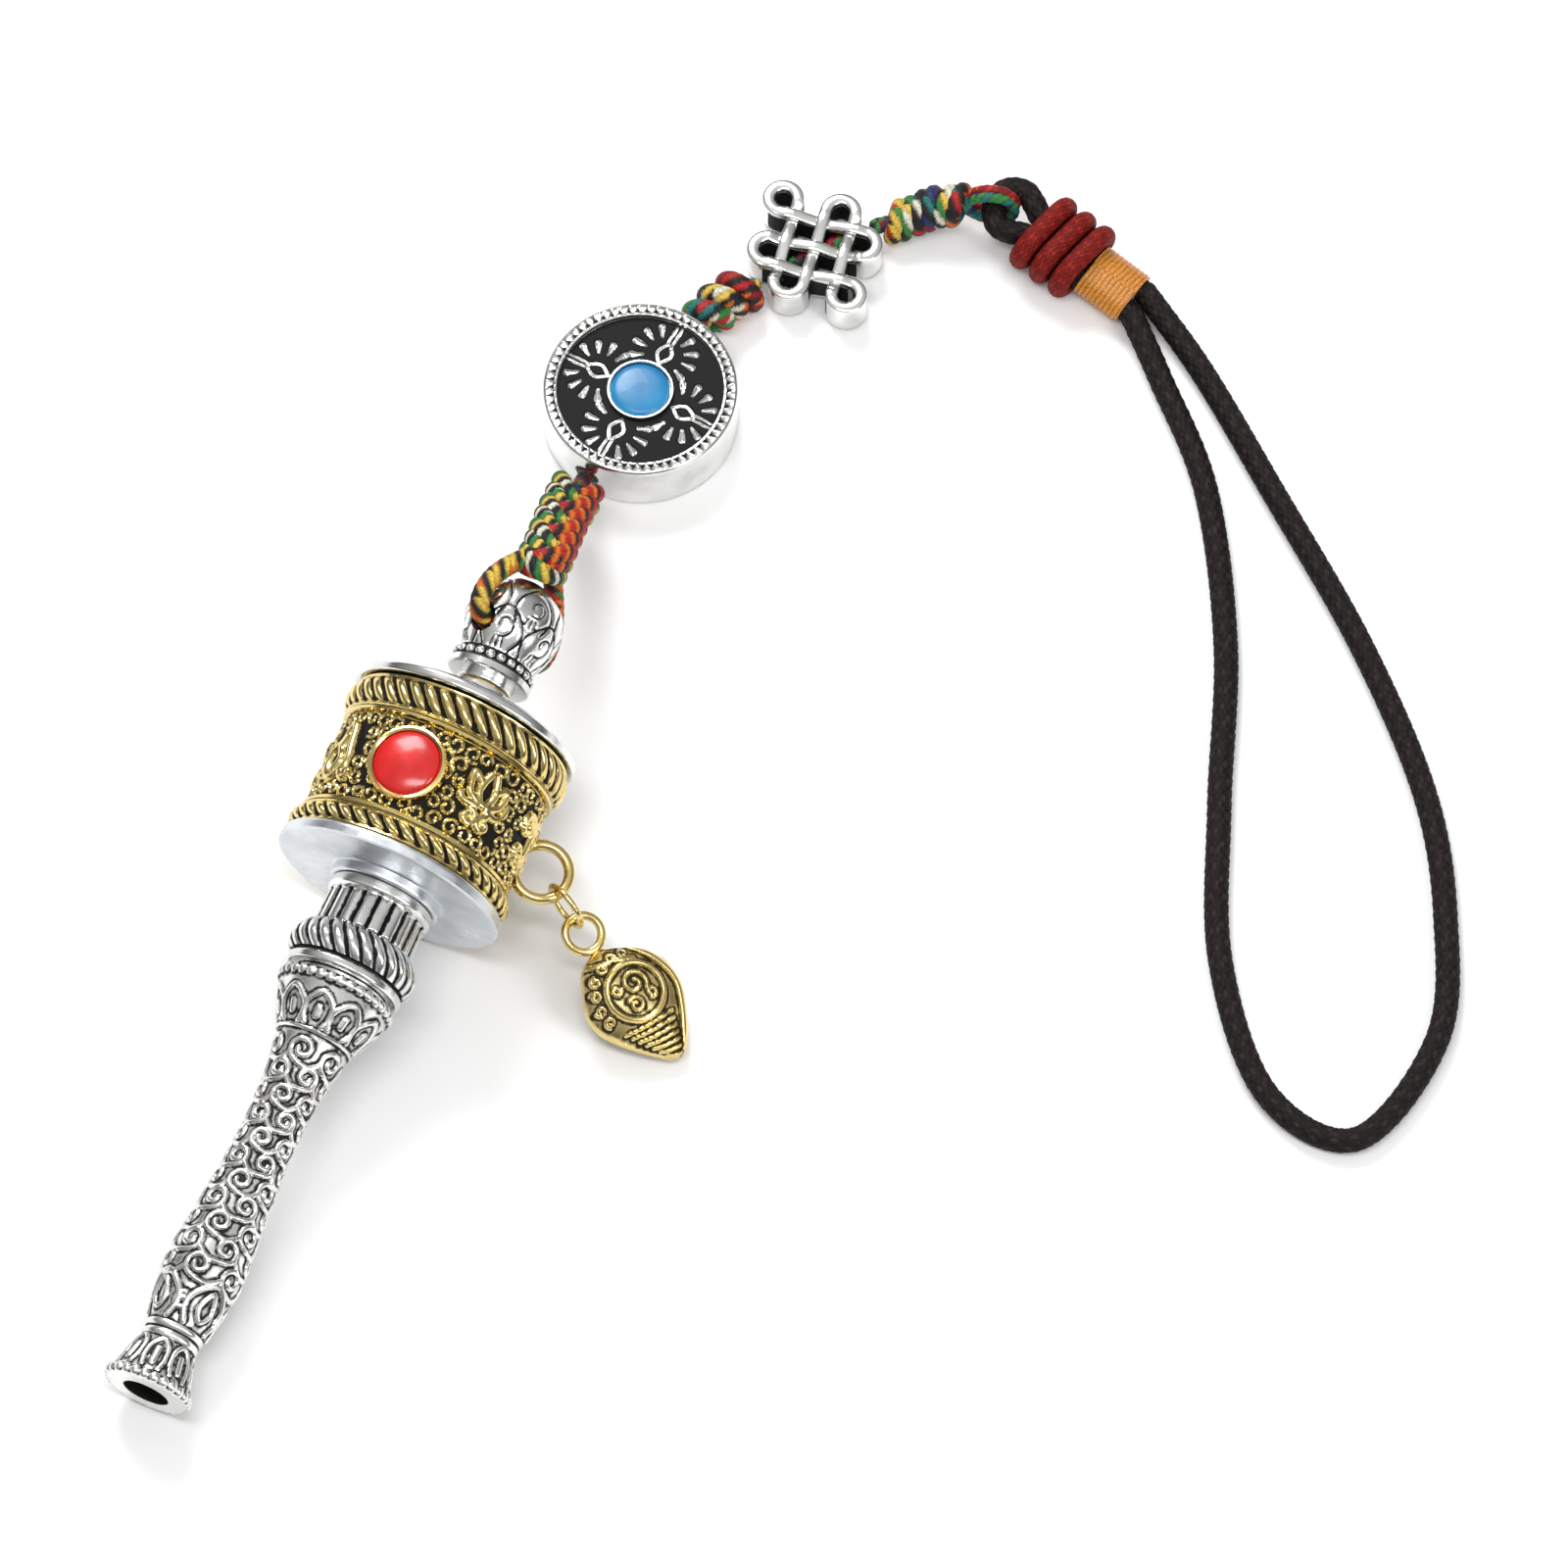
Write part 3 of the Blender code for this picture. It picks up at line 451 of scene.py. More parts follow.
class Strokes:
    """Raised lines on a surface, as sample points that each have a half width and a height."""

    SPACING = 0.1

    def __init__(self):
        self.samples = []

    def add(self, points, half_width, height):
        """Line through points; a single point makes a round bead."""
        points = np.asarray(points, float)
        if len(points) > 1:
            points = resampled(points, self.SPACING)
        for point in points:
            self.samples.append((point, half_width, height))

    def raised(self, targets):
        """Lift in mm, share of full height and distance outside the nearest line, at each target."""
        tree = KDTree(len(self.samples))
        for i, (point, _, _) in enumerate(self.samples):
            tree.insert(point, i)
        tree.balance()
        lift = np.zeros(len(targets))
        share = np.zeros(len(targets))
        gap = np.zeros(len(targets))
        for i, target in enumerate(targets):
            _, index, distance = tree.find(target)
            _, half_width, height = self.samples[index]
            if distance < half_width:
                share[i] = math.sqrt(1 - (distance / half_width) ** 2)
                lift[i] = height * share[i]
            else:
                gap[i] = distance - half_width
        return lift, share, gap


def outlined(share, gap, ground, reach):
    """Brightness of raised work: lines and open ground are bright, and the edges between them dark."""
    return np.where(share > 0, 0.1 + share, ground * np.clip(gap / reach, 0, 1))


def curl(centre, radius, start, turns, hand=1, inner=0.3):
    """Flat spiral that winds in from its outer radius; angles in turns."""
    t = np.linspace(0, 1, 40)
    angle = FULL_TURN * (start + hand * turns * t)
    reach = radius * (1 - (1 - inner) * t)
    return np.stack([centre[0] + reach * np.cos(angle), centre[1] + reach * np.sin(angle)], axis=1)


def arch(centre, half_width, base, top):
    """Round-topped petal outline, open at its base, in flat coordinates."""
    shoulder = top - 0.75 * half_width
    left = [(centre - 0.75 * half_width, base), (centre - half_width, (base + shoulder) / 2)]
    crown = [(centre - 0.85 * half_width, shoulder), (centre, top), (centre + 0.85 * half_width, shoulder)]
    right = [(centre + half_width, (base + shoulder) / 2), (centre + 0.75 * half_width, base)]
    return smooth(left + crown + right, 6)


def drop(centre, half_width, low, high):
    """Pointed leaf outline, closed, in flat coordinates."""
    middle = low + 0.4 * (high - low)
    outline = [(centre, low), (centre + half_width, middle), (centre, high), (centre - half_width, middle)]
    return np.vstack([smooth(outline, 8, closed=True), [outline[0]]])


# ---- turned pieces


class Turned:
    """Fine grid of a surface turned about a frame's z axis from an outline of (radius, height) points."""

    def __init__(self, outline, step, sides, loop=True):
        rows = []
        ends = outline[1:] + outline[:1] if loop else outline[1:]
        for start, end in zip(outline, ends):
            count = max(1, round(math.dist(start, end) / step))
            for k in range(count):
                rows.append(np.array(start) + (np.array(end) - np.array(start)) * k / count)
        if not loop:
            rows.append(np.array(outline[-1]))
        rows = np.array(rows)
        self.loop = loop
        self.sides = sides
        self.rows = len(rows)
        slope = np.roll(rows, -1, axis=0) - np.roll(rows, 1, axis=0)
        if not loop:
            slope[0] = rows[1] - rows[0]
            slope[-1] = rows[-1] - rows[-2]
        slope /= np.maximum(np.linalg.norm(slope, axis=1), 1e-9)[:, None]
        turns = FULL_TURN * np.arange(sides) / sides
        self.turn = np.repeat(turns[None, :], len(rows), axis=0)
        self.radius = np.repeat(rows[:, :1], sides, axis=1)
        self.height = np.repeat(rows[:, 1:], sides, axis=1)
        self.out_r = np.repeat(slope[:, 1:], sides, axis=1)
        self.out_h = np.repeat(-slope[:, :1], sides, axis=1)

    def points(self, lift=0.0):
        radius = self.radius + lift * self.out_r
        height = self.height + lift * self.out_h
        made = np.stack([radius * np.sin(self.turn), -radius * np.cos(self.turn), height], axis=2)
        return made.reshape(-1, 3)

    def faces(self):
        return grid_faces(self.rows, self.sides, self.loop)

    def solid(self, lift=0.0, wear_and_shade=None):
        return Shape().add(self.points(lift), self.faces(), wear_and_shade)

    def raised(self, strokes):
        return [values.reshape(self.turn.shape) for values in strokes.raised(self.points())]

    def dented(self, shape, place_in_frame, radius, depth):
        """Pushes a round pit into the points near a line through the frame, for a cross hole."""
        local = moved(shape, place_in_frame.inverted())
        away = np.hypot(local[:, 0], local[:, 1])
        inside = away < radius
        local[inside, 2] -= np.sign(local[inside, 2]) * depth
        shape[:] = moved(local, place_in_frame)
        return inside


def on_wheel(flat, radius_at, reference=None):
    """Wheel points of flat (millimetres round, height) points laid on a turned surface.

    The millimetres round are measured at the reference radius, or else at the surface's own.
    """
    flat = np.asarray(flat, float)
    radius = radius_at(flat[:, 1])
    turn = flat[:, 0] / (radius if reference is None else reference)
    return np.stack([radius * np.sin(turn), -radius * np.cos(turn), flat[:, 1]], axis=1)


def spread_round(strokes, flat, copies, radius_at, half_width, height, offset, reference):
    """The same flat line repeated evenly round a turned surface."""
    base = on_wheel(flat, radius_at, reference)
    for copy in range(copies):
        angle = FULL_TURN * (copy + offset) / copies
        c, s = math.cos(angle), math.sin(angle)
        spun = base @ np.array([[c, s, 0], [-s, c, 0], [0, 0, 1]])
        strokes.add(spun, half_width, height)


def bead_row(strokes, count, radius, height, bead_r, rise):
    """Row of round beads about the axle."""
    for bead in range(count):
        spot = radius * np.array(radial(FULL_TURN * bead / count)) + np.array((0, 0, height))
        strokes.add([spot], bead_r, rise)


def ridges(turn, count, shift=0.0):
    """Rounded ridges round a turned piece: 1 on each ridge, 0 in each groove."""
    return np.abs(np.cos(count / 2 * turn + shift))


def band_window(height, low, high):
    """1 between two heights, 0 outside, as floats."""
    return ((height >= low) & (height <= high)).astype(float)


# ---- handle


AXLE_BORE_R = 1.06
DRUM_BORE_R = 1.65
GRIP_PROFILE = smooth([(2.65, 5.7), (3.62, 12.5), (3.15, 18.2), (2.55, 27.0), (3.1, 35.2), (5.2, 40.9)], 8)


def grip_radius(height):
    foot_r = [4.1, 4.1, 3.85, 2.65]
    foot_h = [0.0, 1.0, 1.1, 4.9]
    top_r = [5.5, 5.5]
    top_h = [41.5, 42.6]
    radii = np.concatenate([foot_r, GRIP_PROFILE[:, 0], top_r])
    heights = np.concatenate([foot_h, GRIP_PROFILE[:, 1], top_h])
    return np.interp(height, heights, radii)


def vine_strokes():
    """Staggered rows of scrolls that wind out of one another, all over the grip."""
    strokes = Strokes()
    wire = 0.25
    columns = 6
    row_pitch = 2.3
    for row in range(11):
        height = 12.3 + row_pitch * row
        hand = 1 if row % 2 else -1
        radius = float(grip_radius(height))
        spacing = FULL_TURN * radius / columns
        reach = 0.4 * spacing
        for column in range(columns):
            x = spacing * (column + 0.5 * (row % 2))
            scroll = curl((x, height), min(reach, 1.3), 0.75, 1.35, hand, 0.26)
            root = scroll[0]
            tail = [root - (0.7 * spacing * hand, -0.75), root - (0.38 * spacing * hand, 0.12)]
            strokes.add(on_wheel(smooth([*tail, *scroll[::4]], 4), grip_radius, radius), wire, 0.28)
    return strokes


def grip_ornament():
    """Raised work of the handle from its foot to its upper rim."""
    strokes = vine_strokes()
    lines = (
        (arch(0, 1.0, 1.5, 4.7), 8, 0.22, 0.22, 0, 3.3),
        ([(0, 2.0), (0, 3.6)], 8, 0.3, 0.18, 0, None),
        ([(0, 5.3), (1.2, 5.3), (2.4, 5.3)], 12, 0.3, 0.16, 0, None),
        ([(0, 6.2), (1.2, 6.2), (2.4, 6.2)], 12, 0.3, 0.16, 0, None),
        (arch(0, 2.1, 6.9, 11.2), 4, 0.28, 0.3, 0.5, 3.2),
        (drop(0, 0.75, 7.5, 10.4), 4, 0.24, 0.3, 0.5, 3.2),
        (curl((0, 8.6), 0.85, 0.25, 1.2), 4, 0.24, 0.28, 0, 3.2),
        (arch(0, 1.35, 37.6, 40.6), 10, 0.26, 0.24, 0, 4.3),
        ([(0, 38.4), (0, 39.2)], 10, 0.34, 0.2, 0, None),
        ([(0, 37.2), (1.5, 37.2), (3.0, 37.2)], 10, 0.2, 0.2, 0, None),
    )
    for flat, copies, half_width, height, offset, reference in lines:
        spread_round(strokes, flat, copies, grip_radius, half_width, height, offset, reference)
    for beads, height, radius in ((26, 0.55, 4.05), (34, 42.05, 5.5)):
        bead_row(strokes, beads, radius, height, 0.5, 0.34)
    return strokes


def build_handle(silver):
    foot = [(2.2, 0.0), (3.85, 0.0), (4.05, 0.2), (4.05, 0.95), (3.75, 1.1), (2.65, 4.9)]
    rim = [(5.45, 41.5), (5.5, 41.7), (5.5, 42.5), (5.3, 42.6), (4.6, 42.6), (4.6, 43.1)]
    bore = [(AXLE_BORE_R, 43.1), (AXLE_BORE_R, 3.5), (2.2, 3.5)]
    grid = Turned([*foot, *GRIP_PROFILE, *rim, *bore], 0.15, 168)
    lift, share, gap = grid.raised(grip_ornament())
    outside = (grid.radius > 2.4) & (grid.out_r > 0.2)
    # Inward faces of the bore and of the foot's recess stay black: painted shade for the dark hole.
    plain = 0.62 * band_window(grid.height, 41.2, 43.2) * (grid.out_r < 0.2)
    wear_and_shade = np.where(outside, outlined(share, gap, 0.8, 0.6), plain)
    wear_and_shade = np.where(grid.height < 0.12, 0.8 * (grid.radius > 2.3), wear_and_shade)
    shape = grid.solid(lift * outside, wear_and_shade)
    shape.made("handle_silver", WHEEL, silver, "antique_silver", "handle", "handle_grip")


def build_collar(silver):
    """Plain lip, slanted gadroons, fluted neck and flange."""
    lip = [(AXLE_BORE_R, 43.2), (5.6, 43.2), (5.75, 43.35), (5.75, 43.95), (5.55, 44.15), (5.35, 44.4)]
    bulge = smooth([(5.45, 44.6), (5.85, 45.2), (5.95, 45.9), (5.5, 46.9), (4.7, 47.6)], 5)
    neck = [(4.55, 47.9), (4.5, 51.1), (4.75, 51.4), (5.05, 51.6)]
    flange = [(5.1, 51.75), (5.1, 52.4), (5.0, 52.55), (AXLE_BORE_R, 52.55)]
    grid = Turned([*lip, *bulge, *neck, *flange], 0.14, 240)
    bulge_share = np.clip((grid.height - 44.5) / 3.2, 0, 1)
    gadroon = ridges(grid.turn, 26, 5.0 * bulge_share)
    flute = ridges(grid.turn, 20)
    in_bulge = band_window(grid.height, 44.55, 47.65)
    in_neck = band_window(grid.height, 47.85, 51.3) * (grid.radius > 4.3)
    lift = 0.42 * in_bulge * np.sqrt(gadroon) + 0.32 * in_neck * np.sqrt(flute)
    wear_and_shade = np.full(grid.turn.shape, 0.75)
    wear_and_shade = np.where(in_bulge > 0, gadroon**1.4, wear_and_shade)
    wear_and_shade = np.where(in_neck > 0, flute**1.4, wear_and_shade)
    wear_and_shade = np.where(band_window(grid.height, 44.2, 44.5) > 0, 0.0, wear_and_shade)
    shape = grid.solid(lift, wear_and_shade)
    shape.made("collar_silver", WHEEL, silver, "antique_silver", "handle", "neck_collar")


BUD_FOOT = 78.0
BUD_PROFILE = smooth([(3.6, BUD_FOOT), (4.4, 80.0), (4.65, 82.1), (3.9, 84.4), (1.8, 86.0)], 8)


def bud_radius(height):
    return np.interp(height, BUD_PROFILE[:, 1], BUD_PROFILE[:, 0])


def build_finial(silver):
    """Lotus bud with a row of beads round its base and a pit at each end of its cord hole."""
    base = [(AXLE_BORE_R, 78.65), (AXLE_BORE_R, 75.21), (2.6, 75.21), (2.7, 75.3), (2.7, 75.9)]
    ring = [(3.9, 75.95), (4.1, 76.1), (4.1, 76.7), (3.9, 76.85), (3.75, 77.0), (3.7, 77.8)]
    outline = [(0.02, 78.65), *base, *ring, *BUD_PROFILE, (0.9, 86.3), (0.02, 86.4)]
    grid = Turned(outline, 0.13, 180, loop=False)
    strokes = Strokes()
    bead_row(strokes, 22, 3.72, 77.35, 0.44, 0.4)
    petals = 6
    line = 0.16
    cut = -0.12
    for row, (low, high, width) in enumerate(((78.2, 82.3, 2.2), (80.9, 85.2, 1.9))):
        offset = 0.5 * row
        middle = (low + high) / 2
        reference = float(bud_radius(middle))
        lines = [(arch(0, width, low, high), 1.3 * line)]
        lines.append((curl((0.15, middle), 0.5 * width, -0.3, 0.85, 1, 0.45), line))
        for side in (-0.3, 0, 0.3):
            lines.append(([(side * width, low + 0.1), (0.7 * side * width, low + 0.9)], line))
        for flat, half_width in lines:
            spread_round(strokes, flat, petals, bud_radius, half_width, cut, offset, reference)
    lift, share, _ = grid.raised(strokes)
    outside = (grid.out_r > 0.0) & (grid.radius > 1.2)
    on_bud = grid.height > BUD_FOOT
    wear_and_shade = np.where(on_bud, 0.95 - 0.85 * share, np.where(grid.height > 76.9, share, 0.8))
    points = grid.points(lift * outside)
    hole = WHEEL.inverted() @ HOLE
    inside = grid.dented(points, hole, 1.3, 2.4)
    # The pits of the cord hole are painted black: painted shade for the dark hole.
    wear_and_shade = np.where(inside, 0.0, wear_and_shade.ravel())
    shape = Shape().add(points, grid.faces(), wear_and_shade)
    shape.made("finial_silver", WHEEL, silver, "antique_silver", "handle", "finial")


# ---- drum


BAND_R = 10.05
BAND_LOW = 54.95
BAND_HIGH = 70.65
FIELD_LOW = 57.8
FIELD_HIGH = 66.7


def field_radius(height):
    return np.full(np.shape(height), BAND_R)


def motif_lotus():
    """Open lotus of five petals over a small curl."""
    lines = [drop(0, 0.85, -0.4, 3.1)]
    for side in (-1, 1):
        inner = ((0.5, -0.4), (1.7, 0.4), (1.9, 2.2), (0.75, 1.4))
        outer = ((0.6, -0.7), (2.2, -0.6), (2.7, 1.0))
        for petal in (inner, outer):
            lines.append(smooth([(x * side, y) for x, y in petal], 6))
        lines.append(curl((0.85 * side, -2.0), 0.85, 0.25, 0.9, side))
    return lines


def motif_flame():
    """Leaning flame over two small curls."""
    outline = [(-0.2, -2.9), (1.5, -1.2), (1.1, 0.7), (0.3, 3.1), (-0.3, 1.2), (-1.5, 0.1), (-1.4, -1.7)]
    lines = [np.vstack([smooth(outline, 6, closed=True), [outline[0]]])]
    lines.append(smooth([(-0.1, -1.9), (0.4, -0.7), (-0.2, 0.4), (0.2, 1.5)], 6))
    for side in (-1, 1):
        lines.append(curl((2.0 * side, -2.2), 0.7, 0.5, 0.9, side))
    return lines


def motif_scroll():
    """Two facing scrolls joined by a stem."""
    lines = [smooth([(0, -3.0), (0.3, 0), (0, 3.0)], 6)]
    for side in (-1, 1):
        lines.append(curl((1.35 * side, 1.3), 1.2, 0.5 if side > 0 else 0.0, 1.3, -side))
        lines.append(curl((1.2 * side, -1.5), 1.05, 0.5 if side > 0 else 0.0, 1.3, side))
    return lines


def band_strokes():
    """Small curls over the whole band, with a raised motif at each eighth between the cabochons."""
    rng = np.random.default_rng(7)
    strokes = Strokes()
    round_length = FULL_TURN * BAND_R
    centre_height = (FIELD_LOW + FIELD_HIGH) / 2
    centres = [CABOCHON_TURN * BAND_R + round_length * k / 8 for k in range(8)]
    for cabochon in (0, 4):
        for k, motif in enumerate((motif_lotus, motif_scroll, motif_flame), cabochon + 1):
            for line in motif():
                flat = np.asarray(line) + (centres[k], centre_height)
                strokes.add(on_wheel(flat, field_radius), 0.44, 0.6)
    columns = 40
    rows = 6
    for column in range(columns):
        for row in range(rows):
            s = round_length * (column + 0.5 * (row % 2)) / columns + rng.uniform(-0.2, 0.2)
            height = FIELD_LOW + (row + 0.5) * (FIELD_HIGH - FIELD_LOW) / rows + rng.uniform(-0.15, 0.15)
            apart = [(s - centre + round_length / 2) % round_length - round_length / 2 for centre in centres]
            near = min(abs(distance) for distance in apart)
            start = rng.uniform(0, 1)
            hand = rng.choice((-1, 1))
            if near < 2.5 and abs(height - centre_height) < 3.4:
                continue
            flat = curl((s, height), rng.uniform(0.66, 0.86), start, 1.0, hand, 0.4)
            strokes.add(on_wheel(flat, field_radius), 0.16, 0.28)
    return strokes


def rope(grid, low, high, teeth, slant):
    """Lift and brightness of a twisted rope border between two smooth lips, from one height to another."""
    lip = 0.38
    half = (high - low) / 2 - lip
    away = np.abs(grid.height - (low + high) / 2)
    inside = band_window(grid.height, low, high) * (grid.radius > 9.5)
    on_lip = inside * (away > half)
    across = np.clip((grid.height - (low + high) / 2) / half, -1, 1)
    swell = np.sqrt(1 - across**2)
    tooth = ridges(grid.turn, teeth, slant * across)
    bump = np.sqrt(np.clip(1 - ((away - half - lip / 2) / (lip / 2)) ** 2, 0, 1))
    lift = inside * 0.82 * swell * (0.15 + 0.85 * np.sqrt(tooth)) + on_lip * 0.3 * bump
    bright = np.clip(1.6 * tooth * (0.3 + 0.7 * swell) - 0.35, 0, 1)
    return lift, inside, np.where(on_lip > 0, 0.1 + 0.9 * bump, bright)


def build_band(gold):
    ridge_r = 10.5
    rope_r = 10.3
    inner_r = 8.9
    low = [(inner_r, BAND_LOW), (rope_r, BAND_LOW), (rope_r, 57.2)]
    low += [(ridge_r, 57.3), (ridge_r, 57.6), (BAND_R, 57.75)]
    high = [(BAND_R, 66.75), (ridge_r, 66.9), (ridge_r, 67.2)]
    high += [(rope_r, 67.3), (rope_r, BAND_HIGH), (inner_r, BAND_HIGH)]
    grid = Turned(low + high, 0.14, 480)
    lift, share, gap = grid.raised(band_strokes())
    in_field = band_window(grid.height, FIELD_LOW, FIELD_HIGH) * (grid.out_r > 0.5) * (grid.radius > 9.5)
    lift = lift * in_field
    wear_and_shade = np.where(in_field > 0, outlined(share, gap, 0.12, 0.5), 0.85)
    for rope_low, rope_high, slant in ((BAND_LOW, 57.25, 1.5), (67.25, BAND_HIGH, 2.1)):
        rise, inside, bright = rope(grid, rope_low, rope_high, 42, slant)
        lift = lift + rise
        wear_and_shade = np.where(inside > 0, bright, wear_and_shade)
    grid.solid(lift, wear_and_shade).made("band_gold", WHEEL, gold, "antique_gold", "drum", "drum_band")


def seat_frame(turn):
    """Frame of a cabochon: z away from the drum's axis, with its origin on that axis."""
    return WHEEL @ placed((0, 0, CABOCHON_HEIGHT), (0, 0, 1), radial(turn))


def build_cabochons(gold, red):
    gem_r = 3.2
    gem_back = 9.8
    for side, turn in (("front", CABOCHON_TURN), ("back", CABOCHON_TURN + math.pi)):
        place = seat_frame(turn)
        bezel = [(3.15, 9.6), (3.72, 9.6), (3.72, 10.6), (3.6, 10.85), (3.4, 10.9), (3.2, 10.75)]
        ring = Turned(bezel, 0.15, 96).solid()
        ring.made(f"bezel_{side}", place, gold, "antique_gold", "drum")
        dome = smooth([(gem_r, 10.5), (2.9, 10.82), (2.0, 11.12), (1.0, 11.26), (0.03, 11.3)], 5)
        gem = Turned([(0.03, gem_back), (gem_r, gem_back), *dome], 0.3, 72, loop=False).solid()
        gem.made(f"enamel_{side}", place, red, "red_enamel", "drum", f"cabochon_{side}")


def build_caps(silver, plate_silver):
    """Satin bottom plate and the low stepped cone on top, engraved near its neck."""
    boss = [(DRUM_BORE_R, 52.98), (2.6, 52.98), (2.6, 52.65), (5.35, 52.65), (5.45, 52.75), (5.45, 53.6)]
    plate = [(5.6, 53.7), (10.9, 53.7), (11.1, 53.85), (11.1, 54.7), (10.95, 54.85), (DRUM_BORE_R, 54.85)]
    bottom = Turned(boss + plate, 0.3, 144).solid()
    bottom.made("plate_silver", WHEEL, plate_silver, "antique_silver", "drum", "drum_bottom_plate")

    rim = [(8.2, 70.75), (10.95, 70.75), (11.1, 70.9), (11.1, 71.5), (10.95, 71.7), (9.7, 72.0), (9.55, 72.2)]
    cone = [(9.3, 72.35), (6.6, 73.1), (6.45, 73.25), (3.5, 73.9), (3.2, 74.05), (3.0, 74.2), (3.0, 74.75)]
    underside = [(DRUM_BORE_R, 74.75), (DRUM_BORE_R, 73.3), (7.2, 71.9)]
    grid = Turned(rim + cone + underside, 0.14, 240)
    strokes = Strokes()
    petals = 16
    for petal in range(petals):
        turn = FULL_TURN * petal / petals
        ahead = np.array(radial(turn))
        side = np.array(radial(turn + math.pi / 2))
        outline = [(3.9, 0.0), (4.6, 0.62), (5.6, 0.6), (6.2, 0.0), (5.6, -0.6), (4.6, -0.62), (3.9, 0.0)]
        points = [r * ahead + s * side + np.array((0, 0, 73.25 + (6.45 - r) * 0.22)) for r, s in outline]
        strokes.add(points, 0.17, 0.14)
    lift, share, _ = grid.raised(strokes)
    outer = grid.out_h > 0.3
    engraved = outer & (grid.radius > 3.6) & (grid.radius < 6.5)
    wear_and_shade = np.where(engraved, 0.15 + share, 0.85)
    wear_and_shade = np.where(outer & (np.abs(grid.radius - 9.45) < 0.12), 0.1, wear_and_shade)
    top = grid.solid(lift * engraved, wear_and_shade)
    top.made("cap_silver", WHEEL, silver, "antique_silver", "drum", "drum_top_cap")


def circle(radius, count):
    turns = FULL_TURN * np.arange(count) / count
    return at_height(radius * np.stack([np.cos(turns), np.sin(turns)], axis=1))


def build_weight_loop(gold):
    """Cast loop with its root on the drum."""
    out = radial(LOOP_TURN)
    centre = 12.2 * out + Vector((0, 0, LOOP_HEIGHT))
    place = WHEEL @ placed(centre, out, out.cross(Vector((0, 0, -1))))
    shape = Shape()
    shape.add_tube(circle(2.6, 64), 0.52, 0.52, 16, UP, closed=True)
    root = resampled([(-2.9, -0.9, 0), (-2.35, 0, 0), (-2.9, 0.9, 0)], 0.15)
    shape.add_tube(root, 0.55, 0.55, 14, UP)
    shape.made("weight_loop", place, gold, "antique_gold", "drum")


def build_jump_ring(gold):
    """Wire ring with a fine cut opposite the loop."""
    ring_r = 2.2
    hinge = joint_point("ring_swing")
    hang = joint_point("charm_swing") - hinge
    place = placed(hinge, hang, JOINTS["ring_swing"]["axis"]) @ Matrix.Translation((RING_REACH, 0, 0))
    cut = 0.03
    arc = np.linspace(cut, FULL_TURN - cut, 72) + math.pi / 2
    path = at_height(ring_r * np.stack([np.cos(arc), np.sin(arc)], axis=1))
    ring = Shape().add_tube(path, 0.31, 0.31, 14, UP, domed=False)
    ring.made("jump_ring_gold", place, gold, "antique_gold", "weight_link", "jump_ring")


# ---- shell charm


def shell_strokes():
    """Raised work on the shell's face, as flat lines in the charm's frame."""
    strokes = Strokes()

    def line(points, half_width, height):
        strokes.add(at_height(points), half_width, height)

    middle = np.array((8.0, 0.2))
    lip = [(2.6, 0.4), (4.2, 2.6), (6.8, 3.9), (9.4, 4.3), (11.8, 3.3), (13.8, 2.0), (15.5, 0.7)]
    line(smooth(lip, 6), 0.5, 0.6)
    line(smooth([(3.3, -2.6), (4.2, -1.2), (4.6, 0.5), (5.4, 2.0)], 6), 0.3, 0.3)
    medallion = circle(2.75, 48)[:, :2] + middle
    line(np.vstack([medallion, medallion[:1]]), 0.32, 0.45)
    curls = (
        ((-0.7, 0.3), 1.3, 0.1, 1.3, 1, 0.25, 0.22, 0.32),
        ((1.1, -0.7), 0.8, 0.6, 1.2, -1, 0.3, 0.2, 0.3),
        ((0.9, 1.2), 0.55, 0.9, 1.0, 1, 0.4, 0.2, 0.28),
        ((-1.0, -1.5), 0.5, 0.2, 1.0, -1, 0.4, 0.2, 0.28),
    )
    for spot, radius, start, turns, hand, inner, half_width, height in curls:
        line(curl(middle + spot, radius, start, turns, hand, inner), half_width, height)
    for step in range(7):
        angle = math.radians(160 + 21 * step)
        spot = middle + 3.75 * np.array((math.cos(angle), math.sin(angle)))
        line(curl(spot, 0.52, 0.15 * step, 1.1, 1 if step % 2 else -1, 0.35), 0.17, 0.26)
    ribs = 7
    for rib in range(ribs):
        x = 11.1 + 0.62 * rib
        reach = 1 - rib / (ribs + 2)
        low = -3.4 * reach + 0.5
        line(smooth([(x + 0.35, 2.0 * reach + 0.1), (x + 0.1, low / 3), (x - 0.25, low)], 5), 0.2, 0.3)
    return strokes


def build_charm(gold):
    """Conch shell on a round eyelet."""
    middle = smooth([(2.9, -0.1), (4.6, -0.2), (7.2, 0.0), (10.0, 0.3), (13.2, 0.4), (15.4, 0.3)], 24)
    sizes = smooth([(0.8, 1.1), (1.8, 3.0), (2.0, 4.7), (1.9, 4.5), (1.2, 2.6), (0.5, 0.7)], 24)
    points, faces, _ = tube(at_height(middle), sizes[:, 1], sizes[:, 0], 260, (0, 0, 1))
    flat = points * (1, 1, 0)
    lift, share, gap = shell_strokes().raised(flat)
    faced = np.clip(np.abs(points[:, 2]) / 0.7, 0, 1)
    points[:, 2] += np.sign(points[:, 2]) * lift * faced
    wear_and_shade = np.where(np.abs(points[:, 2]) > 0.5, outlined(share, gap, 0.75, 0.5), 0.75)
    shape = Shape().add(points, faces, wear_and_shade)
    shape.add_tube(circle(1.72, 56) + (0.92, 0, 0), 0.42, 0.42, 16, UP, closed=True)
    shape.made("shell_gold", CHARM, gold, "antique_gold", "charm", "shell_charm")


# ---- cord


